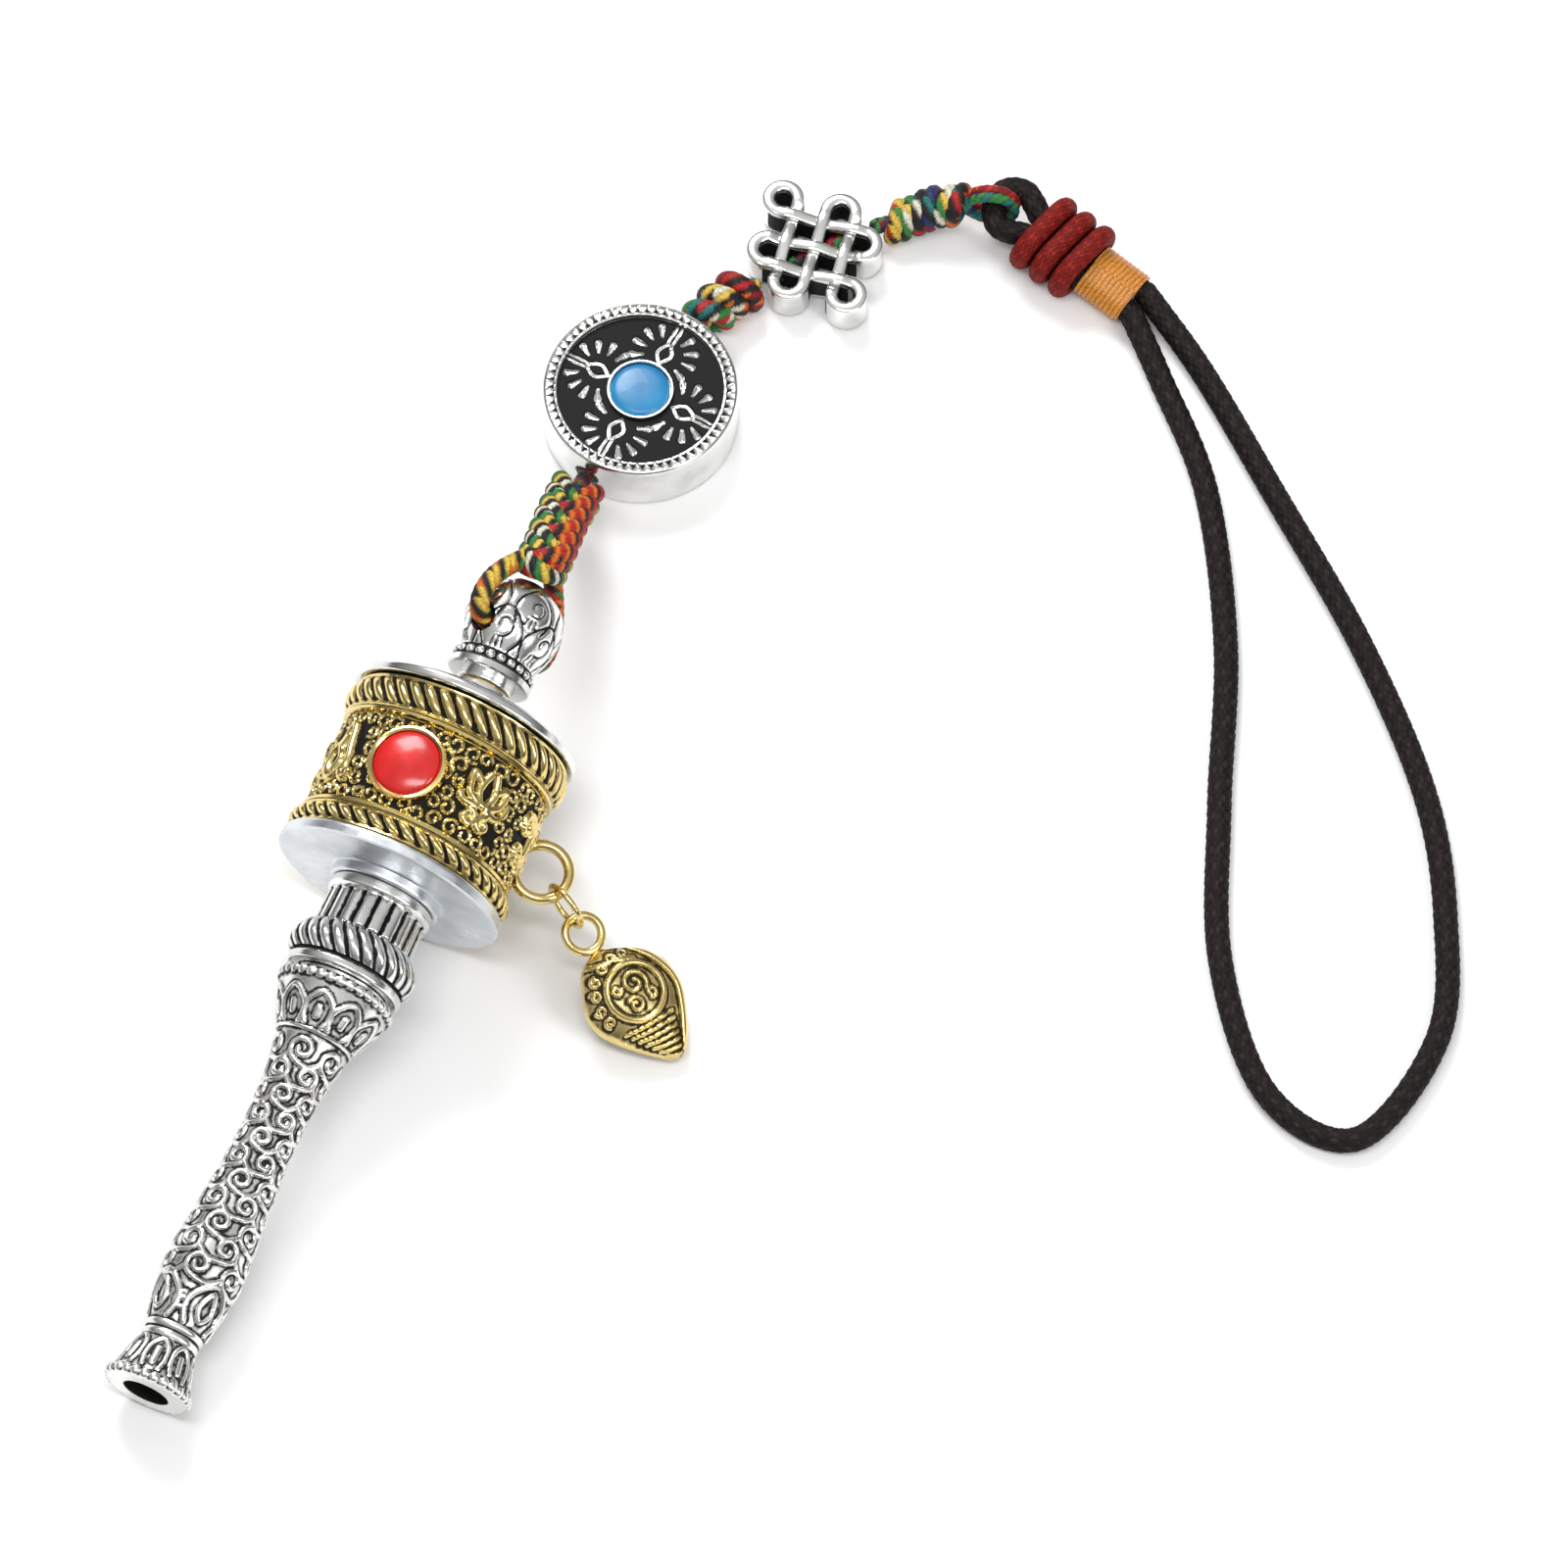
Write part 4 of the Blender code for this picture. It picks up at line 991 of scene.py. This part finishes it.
# Colours are linear red, green and blue.
YELLOW = (0.62, 0.42, 0.06)
GREEN = (0.03, 0.19, 0.04)
TEAL = (0.02, 0.15, 0.14)
WHITE = (0.62, 0.6, 0.48)
NAVY = (0.02, 0.03, 0.1)
BLACK = (0.012, 0.011, 0.012)
RED = (0.4, 0.014, 0.015)
MAROON = (0.2, 0.008, 0.012)
ORANGE = (0.6, 0.13, 0.015)
STRAP_DARK = (0.010, 0.006, 0.006)
STRAP_FLECK = (0.024, 0.015, 0.015)
STRAP_BRAID = (STRAP_DARK, STRAP_FLECK, 10, 1.2)
COIL_DARK = (0.22, 0.01, 0.007)
COIL_LIGHT = (0.33, 0.018, 0.011)
ORANGE_GOLD = (0.62, 0.23, 0.02)


def plied(colours, pitch, depth=0.16):
    """Relief of twisted yarns dyed in dashes of colour, darkened by painted shade in the grooves between
    yarns; the pitch is the length of a full twist.
    """
    palette = np.array(colours)

    def relief(along, around):
        phase = (around / FULL_TURN + along / pitch) * len(colours)
        yarn = np.abs(np.sin(np.pi * phase)) ** 0.5
        dash = np.floor(along / 1.3 + 0.37 * np.floor(phase))
        colour = palette[(np.floor(phase) + dash**2).astype(int) % len(colours)]
        # Painted shade: the colour falls to a quarter in the grooves between yarns.
        painted_shade = 0.25 + 0.75 * yarn
        return 1 - depth * (1 - yarn), colour * painted_shade[:, :, None]

    return relief


def braided(dark, light, bumps, pitch, depth=0.14):
    """Relief of a round braid: lozenge bumps in rows that cross both ways, with flecks of a second colour,
    darkened by painted shade in the gaps between bumps.
    """
    dark = np.array(dark)
    light = np.array(light)

    def relief(along, around):
        first = bumps / 2 * around / np.pi + along / pitch
        second = bumps / 2 * around / np.pi - along / pitch
        bump = np.sqrt(np.abs(np.sin(np.pi * first) * np.sin(np.pi * second)))
        fleck = (np.floor(first) * 3 + np.floor(second) * 5) % 7 < 2
        # Painted shade: the colour falls to a fifth in the gaps between bumps.
        painted_shade = 0.2 + 0.8 * bump
        colour = np.where(fleck[:, :, None], light, dark) * painted_shade[:, :, None]
        return 1 - depth * (1 - bump), colour

    return relief


def add_strand(shape, path, radius, relief, normal=(0, 0, 1), closed=False, sides=28):
    path = resampled(path, 0.16, closed)
    shape.add_tube(path, radius, radius, sides, normal, closed=closed, relief=relief)


def wound_ring(shape, centre, tangent, up, ring_r, wire, tilt, relief):
    """Ring of a strand wound about a cord, tilted sideways across it; up is the direction it is seen from."""
    tangent = tangent / np.linalg.norm(tangent)
    front = up - up.dot(tangent) * tangent
    front /= np.linalg.norm(front)
    side = np.cross(tangent, front)
    turns = np.linspace(0, FULL_TURN, 72, endpoint=False)
    ring = ring_r * (np.cos(turns)[:, None] * front + np.sin(turns)[:, None] * side)
    ring = ring + (ring_r * math.tan(tilt) * np.sin(turns))[:, None] * tangent
    add_strand(shape, centre + ring, wire, relief, tangent, closed=True)


def spot_at(wanted, run, path):
    """Point of a path where a value that grows along it reaches the wanted one."""
    return np.array([np.interp(wanted, run, path[:, axis]) for axis in range(3)])


def along_path(path, fraction):
    """Point and direction at a fraction of a path's length."""
    run = run_along(path)
    wanted = fraction * run[-1]
    near = 0.05 * run[-1]
    ahead = min(wanted + near, run[-1])
    return spot_at(wanted, run, path), spot_at(ahead, run, path) - spot_at(wanted - near, run, path)


def snake_knot(shape, path, rows, last, left, right):
    """Column of rows of two strands that cross in front. The rows lean back along the cord, like slates."""
    square = np.array((-0.014, 0.902, 0.431))
    across = np.array((0.988, 0.072, -0.14))
    front = np.cross(across, square)
    deep = 3.2
    wide = 1.72
    rise = 0.66
    turns = np.linspace(0, FULL_TURN, 96, endpoint=False)
    climb = np.maximum.accumulate(path @ square)
    climb += np.linspace(0, 1e-6, len(climb))
    for row in range(rows):
        wanted = climb[0] + (climb[-1] - climb[0]) * last * (row + 0.5) / rows
        centre = spot_at(wanted, climb, path)
        for hand, colours in ((1, left), (-1, right)):
            weave = 0.2 * hand * (1 if row % 2 else -1)
            reach = (deep + weave) * np.cos(turns)[:, None] * front + wide * np.sin(turns)[:, None] * across
            lift = (hand * rise * np.sin(turns) - 0.35 * np.cos(2 * turns))[:, None] * square
            strand = plied(colours, 3.0 * hand)
            add_strand(shape, centre + reach + lift, 0.92, strand, tuple(square), closed=True)


COLUMN_LOW = 7.2
CORE_R = 0.78
CORE_COLOURS = (BLACK, GREEN, MAROON, NAVY)


def build_lower_cord(yarn):
    """Cord looped through the finial, and the column of snake knots that runs down to the round bead."""
    side = [(0, 0, 4.2), (0.5, 0, 5.4), (2.0, 0, 5.8), (4.2, 0, 5.1), (6.8, 0, 3.0)]
    mirrored = [(x, y, -z) for x, y, z in reversed(side)]
    ring = smooth(side + [(9.4, 0, 0)] + mirrored + [(0, 0, 0)], 8, closed=True)
    shape = Shape()
    strand = plied((RED, BLACK, YELLOW, ORANGE, BLACK, GREEN), 4.5)
    add_strand(shape, moved(ring, HOLE), 0.95, strand, HOLE.col[1].xyz, closed=True)
    start = np.array(HOLE @ Vector((9.4, 0, 0)))
    low = np.array([HOLE @ Vector((COLUMN_LOW, 0, 0))])
    mouth = np.array(joint_point("bead_pitch"))
    bow = np.array((0, 0, 1))
    bows = [start + 0.33 * (mouth - start) + 1.0 * bow, start + 0.7 * (mouth - start) + 0.5 * bow]
    path = smooth([start, *bows, mouth], 12)
    add_strand(shape, path, CORE_R, plied(CORE_COLOURS, 3.0))
    yellow_side = (YELLOW, GREEN, BLACK, WHITE, BLACK)
    red_side = (RED, BLACK, RED, ORANGE, BLACK)
    snake_knot(shape, np.vstack([low, path]), 7, 0.85, red_side, yellow_side)
    shape.made("cord_lower", WORLD, yarn, "multicolour_cord", "lower_cord", "lower_cord")


def wound_lumps(shape, path, lumps, first, last, ring_r, wire, tilt, sets, pair=0.0):
    """Fat diagonal turns of strands round a cord, a set of yarn colours to a turn, alone or in pairs."""
    up = np.array((0.19, -0.42, 0.887))
    count = 0
    for lump in range(lumps):
        centre, tangent = along_path(path, first + (last - first) * (lump + 0.5) / lumps)
        tangent = tangent / np.linalg.norm(tangent)
        for offset in (-pair, pair) if pair else (0.0,):
            strand = plied(sets[count % len(sets)], 3.0)
            wound_ring(shape, centre + offset * tangent, tangent, up, ring_r, wire, tilt, strand)
            count += 1


def build_middle_cord(yarn):
    start = np.array(joint_point("middle_yaw"))
    end = np.array(joint_point("knot_pitch"))
    path = smooth([start, (start + end) / 2 + (-0.4, 0.3, 0.3), end], 12)
    shape = Shape()
    add_strand(shape, path, CORE_R, plied((BLACK, TEAL, MAROON, YELLOW), 3.0))
    sets = (
        (TEAL, BLACK, WHITE, GREEN, RED),
        (YELLOW, BLACK, ORANGE, BLACK, WHITE),
        (RED, BLACK, ORANGE, MAROON, BLACK),
    )
    wound_lumps(shape, path, 3, 0.1, 0.84, 1.4, 1.02, math.radians(28), sets)
    shape.made("cord_middle", WORLD, yarn, "multicolour_cord", "middle_cord", "middle_cord")


def build_upper_cord(yarn):
    """Knotted cord from the knot bead, ending in the upright loop that the strap hangs in."""
    start = np.array(joint_point("upper_yaw"))
    near = np.array(LINK @ Vector((-LINK_NEAR, 0, 0)))
    path = smooth([start, start + (2.9, 2.4, 0.1), near + (-3.0, -1.4, -0.9), near], 12)
    shape = Shape()
    add_strand(shape, path, CORE_R, plied(CORE_COLOURS, 3.0))
    sets = (
        (GREEN, YELLOW, BLACK, YELLOW, RED),
        (YELLOW, WHITE, BLACK, GREEN, BLACK),
        (WHITE, BLACK, RED, BLACK, TEAL),
        (TEAL, BLACK, MAROON, NAVY, BLACK),
        (YELLOW, GREEN, BLACK, WHITE, BLACK),
        (RED, BLACK, ORANGE, BLACK, TEAL),
    )
    wound_lumps(shape, path, 3, 0.2, 0.98, 1.25, 0.85, math.radians(-30), sets, 0.54)
    half = [(LINK_REACH, 0), (1.3, 1.6), (-0.2, 2.05), (-1.7, 1.5)]
    outline = half + [(-LINK_NEAR, 0)] + [(x, -y) for x, y in reversed(half[1:])]
    for offset, colours in ((-0.4, (RED, MAROON, ORANGE)), (0.4, (TEAL, GREEN, NAVY))):
        flat = smooth([(x, y, offset) for x, y in outline], 8, closed=True)
        add_strand(shape, moved(flat, LINK), 0.5, plied(colours, 2.0), LINK.col[2].xyz, closed=True)
    shape.made("cord_upper", WORLD, yarn, "multicolour_cord", "upper_cord", "upper_cord")


def build_bead_core(yarn, name, place, degrees, node, body):
    """Cord inside a bead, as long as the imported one."""
    ahead = np.array(heading(degrees))
    low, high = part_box(node)
    half = (high - low).length / (2 * MM) - 0.35
    centre = np.array(place.translation)
    shape = Shape()
    strand = plied((BLACK, MAROON, GREEN), 3.0)
    add_strand(shape, [centre - half * ahead, centre + half * ahead], 0.9, strand)
    shape.made(name, WORLD, yarn, "multicolour_cord", body, node)


# ---- beads


def bead_strokes(face):
    """Four spokes with a lozenge at the inner end of each, and a fan of small drops round every lozenge."""
    strokes = Strokes()
    field = 2.4 * face
    middle = np.array((4.45, 0.0))
    for quarter in range(4):
        turn = math.radians(4) + quarter * math.pi / 2
        c, s = math.cos(turn), math.sin(turn)
        spin = np.array(((c, s), (-s, c)))

        def line(flat, half_width, height):
            strokes.add(at_height(np.asarray(flat, float) @ spin, field), half_width, height)

        for offset in (-0.24, 0.24):
            line([(5.5, offset), (7.8, offset)], 0.17, 0.34)
        corners = ((-1.0, 0), (0.05, 0.68), (1.1, 0.2), (1.1, -0.2), (0.05, -0.68), (-1.0, 0))
        line(smooth([middle + corner for corner in corners], 4), 0.2, 0.42)
        for side in (-1, 1):
            for degrees in (32, 60, 88, 117):
                lean = math.radians(degrees) * side
                ahead = np.array((math.cos(lean), math.sin(lean)))
                for share in np.linspace(0, 1, 8):
                    line([middle + (1.95 + 1.05 * share) * ahead], 0.15 + 0.22 * share, 0.26 + 0.14 * share)
    return strokes


def build_round_bead(silver, blue):
    seat = [(0.03, 2.0), (2.85, 2.0), (2.85, 2.7), (2.93, 2.85), (3.07, 2.85), (3.15, 2.7), (3.15, 2.4)]
    edge = [(7.8, 2.4), (7.85, 2.45), (7.85, 2.85), (8.0, 2.9), (8.72, 2.85), (8.85, 2.95), (9.0, 2.9)]
    upper = [*seat, *edge, (9.15, 2.65)]
    lower = [(radius, -height) for radius, height in reversed(upper)]
    grid = Turned(upper + lower, 0.12, 400, loop=False)
    lift = np.zeros(grid.turn.shape)
    share = np.zeros(grid.turn.shape)
    for face in (1, -1):
        on_face = (grid.height * face > 0) & (np.abs(grid.out_h) > 0.5)
        rise, part_share, _ = grid.raised(bead_strokes(face))
        field = on_face & (grid.radius > 3.18) & (grid.radius < 7.78)
        lift = np.where(field, rise, lift)
        share = np.where(field, part_share, share)
    outward = np.clip((grid.radius - 8.02) / 0.72, 0, 1)
    notches = np.clip(4 * (ridges(grid.turn, 62) - 1.05 * (1 - outward)) + 0.5, 0, 1)
    depth = np.abs(grid.height)
    rim = (grid.radius > 8.02) & (grid.radius < 8.8) & (depth > 2.7)
    lift = np.where(rim, 0.18 * notches, lift)
    field = (grid.radius > 3.14) & (grid.radius < 7.83) & (depth < 2.75) & (depth > 2.2)
    wear_and_shade = np.where(field, share, 0.85)
    wear_and_shade = np.where(rim, notches, wear_and_shade)
    points = grid.points(lift)
    bore = BEAD.inverted() @ placed(BEAD.translation, UP, heading(BEAD_HEADING))
    inside = grid.dented(points, bore, 1.2, 2.2)
    # The pits of the bore are painted black: painted shade for the dark hole.
    wear_and_shade = np.where(inside, 0.0, wear_and_shade.ravel())
    shape = Shape().add(points, grid.faces(), wear_and_shade)
    shape.made("bead_silver", BEAD, silver, "antique_silver", "round_bead", "round_bead")
    for node, flip in (("bead_cabochon_top", 1), ("bead_cabochon_back", -1)):
        dome = smooth([(2.78, 2.55), (2.3, 2.85), (1.2, 2.98), (0.03, 3.0)], 5)
        gem = Turned([(0.03, 2.1), (2.78, 2.1), *dome], 0.25, 64, loop=False).solid()
        place = BEAD if flip > 0 else BEAD @ Matrix.Rotation(math.pi, 4, "X")
        gem.made(node.replace("cabochon", "enamel"), place, blue, "turquoise_enamel", "round_bead", node)


KNOT_PITCH = 2.8
KNOT_TOP = 2.1


def bend_round(x, y, start, end):
    """Points of a round bend of the knot's strand; its centre is in pitches and its angles in degrees."""
    turns = np.radians(np.linspace(start, end, 11))
    reach = KNOT_PITCH / 2
    return [(x * KNOT_PITCH + reach * math.cos(t), y * KNOT_PITCH + reach * math.sin(t)) for t in turns]


def knot_strand():
    """Centre line of the knot's one closed strand as (x, y, over) points; over is its place in the weave."""
    p = KNOT_PITCH
    legs_and_bends = (
        ((-p, -p), (-p, p), bend_round(-1.5, 1.5, 0, 270)),
        ((-p, p), (p, p), bend_round(1.5, 0.5, 90, -90)),
        ((p, 0), (-p, 0), bend_round(-1.5, -0.5, 90, 270)),
        ((-p, -p), (p, -p), bend_round(1.5, -1.5, 90, -180)),
        ((p, -p), (p, p), bend_round(0.5, 1.5, 0, 180)),
        ((0, p), (0, -p), bend_round(-0.5, -1.5, 0, -180)),
    )
    points = []
    visit = 0
    for start, end, bend in legs_and_bends:
        for share in (0.0, 0.5, 1.0):
            spot = np.array(start) + (np.array(end) - np.array(start)) * share
            points.append((*spot, 1 if visit % 2 else -1))
            visit += 1
        points += [(x, y, 0.6) for x, y in bend]
    return resampled(smooth(points, 6, closed=True), 0.1, closed=True)


def build_knot_bead(silver):
    """Endless-knot bead: one tall flat-topped strand that passes over and under itself."""
    strand = knot_strand()
    path = strand * (1, 1, 0)
    over = np.clip(strand[:, 2], -1, 1)[:, None]
    sides = 44
    half_width = 0.56
    points, faces, _ = tube(path, half_width, 1.0, sides, (0, 0, 1), closed=True)
    rows = points.reshape(len(path), sides, 3)
    across = rows[:, :, :2] - path[:, None, :2]
    reach = np.linalg.norm(across, axis=2)
    side = np.sign(rows[:, :, 2])
    upright = np.abs(rows[:, :, 2])
    level = KNOT_TOP - 0.28 + 0.28 * over * side
    crown = level - 0.22 * (1 - np.clip(upright, 0, 1)) ** 0.5
    rows[:, :, 2] = side * np.minimum(upright * 3.0, 1.0) ** 0.5 * crown
    square = np.clip(reach / half_width, 0, 1) ** 0.45 * half_width / np.maximum(reach, 1e-6)
    rows[:, :, :2] = path[:, None, :2] + across * square[:, :, None]
    outer = (across * path[:, None, :2]).sum(axis=2) > 0
    rim = np.abs(path[:, :2]).max(axis=1) > 1.5 * KNOT_PITCH
    depth = np.abs(rows[:, :, 2])
    # Painted shade: the strand's side walls are black, as in shaded windows, and only its flat tops and the
    # rim's outer walls are bare metal.
    wear_and_shade = np.clip((depth - 1.2) / 0.3, 0, 1)
    wear_and_shade = np.where(outer & rim[:, None], 0.9, wear_and_shade)
    shape = Shape().add(rows.reshape(-1, 3), faces, wear_and_shade)
    shape.made("knot_silver", KNOT, silver, "antique_silver", "knot_bead", "knot_bead")


# ---- strap


def build_strap_head(black, red, orange):
    """Small braided loop, the red knot of three coils round its legs, and the gold thread wrap below it."""
    side = [(14.2, LEG_OFFSET), (10.0, LEG_OFFSET), (5.0, LEG_OFFSET), (4.1, 1.27), (3.0, 1.85)]
    bend = [(1.6, 2.32), (0.3, 1.6), (-0.1, 0.4), (0.1, -0.6), (0.8, -1.6), (1.8, -2.15)]
    loop = side + bend + [(x, -y) for x, y in reversed(side)]
    path = smooth([(x, y, 0) for x, y in loop], 10)
    shape = Shape()
    add_strand(shape, path, STRAP_R, braided(*STRAP_BRAID), sides=48)
    shape.made("strap_link_braid", HEAD, black, "strap_cord", "strap_head", "strap_link")

    shape = Shape()
    knot_start = 4.3
    coil_pitch = 2.25
    coil_centre = 2.06
    tilt = math.tan(math.radians(14))
    braid = braided(COIL_DARK, COIL_LIGHT, 14, 0.8, 0.07)
    turns = np.linspace(0, FULL_TURN, 96, endpoint=False)
    for coil in range(3):
        x = knot_start + (coil + 0.5) * coil_pitch
        y = coil_centre * np.cos(turns)
        y = y + np.sign(y) * LEG_OFFSET * np.clip(4 * np.abs(np.cos(turns)), 0, 1)
        z = coil_centre * np.sin(turns)
        ring = np.stack([x + tilt * y * 0.35, y, z], axis=1)
        add_strand(shape, ring, 1.02, braid, (1, 0, 0), closed=True, sides=40)
    shape.made("knot_red_coils", HEAD, red, "red_cord", "strap_head", "red_knot")

    def threads(along, around):
        turn = along / 0.48 + 0.8 * around / np.pi
        grain = np.abs(np.sin(22 * around + 1.6 * np.floor(turn)))
        # Painted shade: the gold darkens in the grooves between thread rows; the grain across the rows is the
        # thread's own.
        row = np.abs(np.sin(np.pi * turn)) ** 0.6 * (0.55 + 0.45 * grain)
        return 1 - 0.06 * (1 - row), np.array(ORANGE_GOLD) * (0.3 + 0.7 * row)[:, :, None]

    wrap_start = 11.1
    wrap_end = 15.95
    path = resampled([(wrap_start, 0, 0), (wrap_end, 0, 0)], 0.06)
    shape = Shape().add_tube(path, 1.6 + LEG_OFFSET, 1.62, 96, UP, relief=threads, domed=False)
    shape.made("wrap_gold_thread", HEAD, orange, "gold_thread", "strap_head", "gold_wrap")


def strap_outline():
    """Centre line of the wrist loop from the near leg's top round the bend to the far leg's top."""
    near = [(41.3, 136.4), (50.0, 127.3), (58.4, 112.9), (64.6, 97.4)]
    bottom = [(71.2, 82.7), (80.7, 71.8), (90.2, 71.0), (92.8, 83.5), (88.4, 95.4)]
    far = [(81.5, 106.4), (69.8, 118.3), (55.6, 129.9), (44.7, 138.6)]
    outline = [np.array(TABLE) + (x, y, 1.2) for x, y in near + bottom + far]
    tops = [np.array(HEAD @ Vector((STRAP_PIVOT, side * LEG_OFFSET, 0))) for side in (-1, 1)]
    inside = [np.array(HEAD @ Vector((14.3, side * LEG_OFFSET, 0))) for side in (-1, 1)]
    curve = smooth([tops[0], *outline, tops[1]], 24)
    return resampled(np.vstack([[inside[0]], curve, [inside[1]]]), 0.17)


def build_wrist_loop(black):
    """One braided cord in three lengths: the top of each leg, and the rest of the loop between them."""
    path = strap_outline()
    sides = 44
    braid = braided(*STRAP_BRAID)
    points, _, colours = tube(path, STRAP_R, STRAP_R, sides, UP, relief=braid, domed=False)
    rows = points.reshape(len(path), sides, 3)
    tints = np.asarray(colours).reshape(len(path), sides, 3)
    run = run_along(path)
    top_length = 30.0
    first = int(np.searchsorted(run, top_length))
    last = int(np.searchsorted(run, run[-1] - top_length))
    lengths = {
        "strap_top_near": (0, first + 1),
        "strap_rest": (first, last + 1),
        "strap_top_far": (last, len(path)),
    }
    for name, (low, high) in lengths.items():
        shape = Shape()
        faces = grid_faces(high - low, sides, False)
        shape.add(rows[low:high].reshape(-1, 3), faces, tint=tints[low:high].reshape(-1, 3))
        obj = shape.made(name, WORLD, black, "strap_cord")
        if name == "strap_rest":
            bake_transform(obj)
            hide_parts("strap_leg_near", "strap_leg_far", "strap_bend")
        else:
            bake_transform(obj)


# ---- set


def build_floor():
    """Plain white table that fades into the background."""
    mesh = bpy.data.meshes.new("floor")
    reach = 3.0
    corners = [(-reach, -reach, 0), (reach, -reach, 0), (reach, reach, 0), (-reach, reach, 0)]
    mesh.from_pydata(corners, [], [(0, 1, 2, 3)])
    material, tree = new_material("table_white")
    patchy = remap(tree, noise(tree, 30), 0.4, 0.6)
    white = mixed(tree, patchy, (0.93, 0.93, 0.93), (0.9, 0.9, 0.9))
    mesh.materials.append(finished(material, Base_Color=white, Roughness=0.8))
    floor = bpy.data.objects.new("floor", mesh)
    bpy.context.scene.collection.objects.link(floor)


AIM = Vector((-13.83, 6.82, 5.0)) * MM


def aimed(obj, position, target):
    obj.location = position
    obj.rotation_mode = "QUATERNION"
    obj.rotation_quaternion = (Vector(target) - Vector(position)).to_track_quat("-Z", "Y")
    bpy.context.scene.collection.objects.link(obj)
    return obj


def soft_light(name, position, width, height, power):
    light = bpy.data.lights.new(name, "AREA")
    light.shape = "RECTANGLE"
    light.size = width
    light.size_y = height
    light.energy = power
    aimed(bpy.data.objects.new(name, light), position, AIM)


def build_set():
    """Table, camera at the photo's angle, soft lights and a bright surround."""
    build_floor()
    azimuth = math.radians(24.3)
    elevation = math.radians(62.5)
    level = math.cos(elevation)
    back = Vector((math.sin(azimuth) * level, -math.cos(azimuth) * level, math.sin(elevation)))
    camera = bpy.data.cameras.new("camera")
    camera.lens = 600
    camera.sensor_width = 36
    view_width = 0.14545
    distance = view_width * camera.lens / camera.sensor_width
    camera.clip_end = 20
    bpy.context.scene.camera = aimed(bpy.data.objects.new("camera", camera), AIM + back * distance, AIM)

    soft_light("key", (-0.28, 0.3, 0.42), 0.24, 0.24, 2.2)
    soft_light("fill", (0.4, -0.12, 0.35), 0.16, 0.3, 1.1)
    soft_light("top", (0.0, -0.16, 0.6), 0.35, 0.1, 1.3)
    world = bpy.data.worlds.new("surround")
    bpy.context.scene.world = world
    world.use_nodes = True
    tree = world.node_tree
    where = add_node(tree, "ShaderNodeTexCoord").outputs["Generated"]
    split = add_node(tree, "ShaderNodeSeparateXYZ", Vector=where)
    height = remap(tree, split.outputs["Z"], 0.1, 0.95, 0.1, 0.95)
    feed_named(tree, tree.nodes["Background"], {"Color": grey(tree, height), "Strength": 0.75})
    bpy.context.scene.view_settings.view_transform = "Standard"


def dress_hidden_nodes(brass, steel, paper):
    """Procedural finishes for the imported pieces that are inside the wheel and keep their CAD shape."""
    finishes = {
        "axle_rod": (steel, "steel"),
        "lower_washer": (brass, "brass"),
        "upper_washer": (brass, "brass"),
        "drum_bush": (brass, "brass"),
        "prayer_scroll": (paper, "scroll_paper"),
    }
    for node, (material, slot) in finishes.items():
        obj = frame["nodes"][node]
        obj.data.materials.clear()
        obj.data.materials.append(material)


def main():
    silver = cast_metal("antique_silver", (0.82, 0.82, 0.8), (0.008, 0.008, 0.009), 0.2)
    handle_silver = cast_metal("handle_silver", (0.86, 0.85, 0.83), (0.016, 0.015, 0.014), 0.26, 0.22)
    plate_silver = turned_metal("plate_silver", (0.72, 0.75, 0.78), 0.32)
    gold = cast_metal("antique_gold", (0.8, 0.63, 0.25), (0.01, 0.008, 0.005), 0.18)
    shell_gold = cast_metal("shell_gold", (0.8, 0.63, 0.26), (0.025, 0.018, 0.008), 0.22)
    polished_gold = turned_metal("polished_gold", (0.82, 0.64, 0.27), 0.16)
    red = enamel("red_enamel", (0.62, 0.012, 0.01), (0.42, 0.005, 0.006), 0.16)
    blue = enamel("turquoise_enamel", (0.012, 0.22, 0.45), (0.008, 0.15, 0.35), 0.3)
    yarn = thread("multicolour_yarn", 0.6, 0.0, 0.4, 0.25)
    black = thread("strap_braid", 0.7, 0.0, 0.5, 0.2)
    maroon = thread("red_yarn", 0.65, 0.0, 0.35, 0.15)
    orange = thread("gold_thread", 0.35, 0.2)

    build_handle(handle_silver)
    build_collar(silver)
    build_finial(silver)
    build_band(gold)
    build_cabochons(polished_gold, red)
    build_caps(silver, plate_silver)
    build_weight_loop(polished_gold)
    build_jump_ring(polished_gold)
    build_charm(shell_gold)
    build_lower_cord(yarn)
    build_middle_cord(yarn)
    build_upper_cord(yarn)
    build_bead_core(yarn, "cord_in_bead", BEAD, BEAD_HEADING, "cord_in_round_bead", "round_bead")
    build_bead_core(yarn, "cord_in_knot", KNOT, KNOT_HEADING, "cord_in_knot_bead", "knot_bead")
    build_round_bead(silver, blue)
    build_knot_bead(silver)
    build_strap_head(black, maroon, orange)
    build_wrist_loop(black)
    dress_hidden_nodes(
        turned_metal("washer_brass", (0.75, 0.56, 0.28), 0.3),
        turned_metal("rod_steel", (0.55, 0.55, 0.57), 0.3),
        rolled_paper("scroll_paper"),
    )
    build_set()


main()
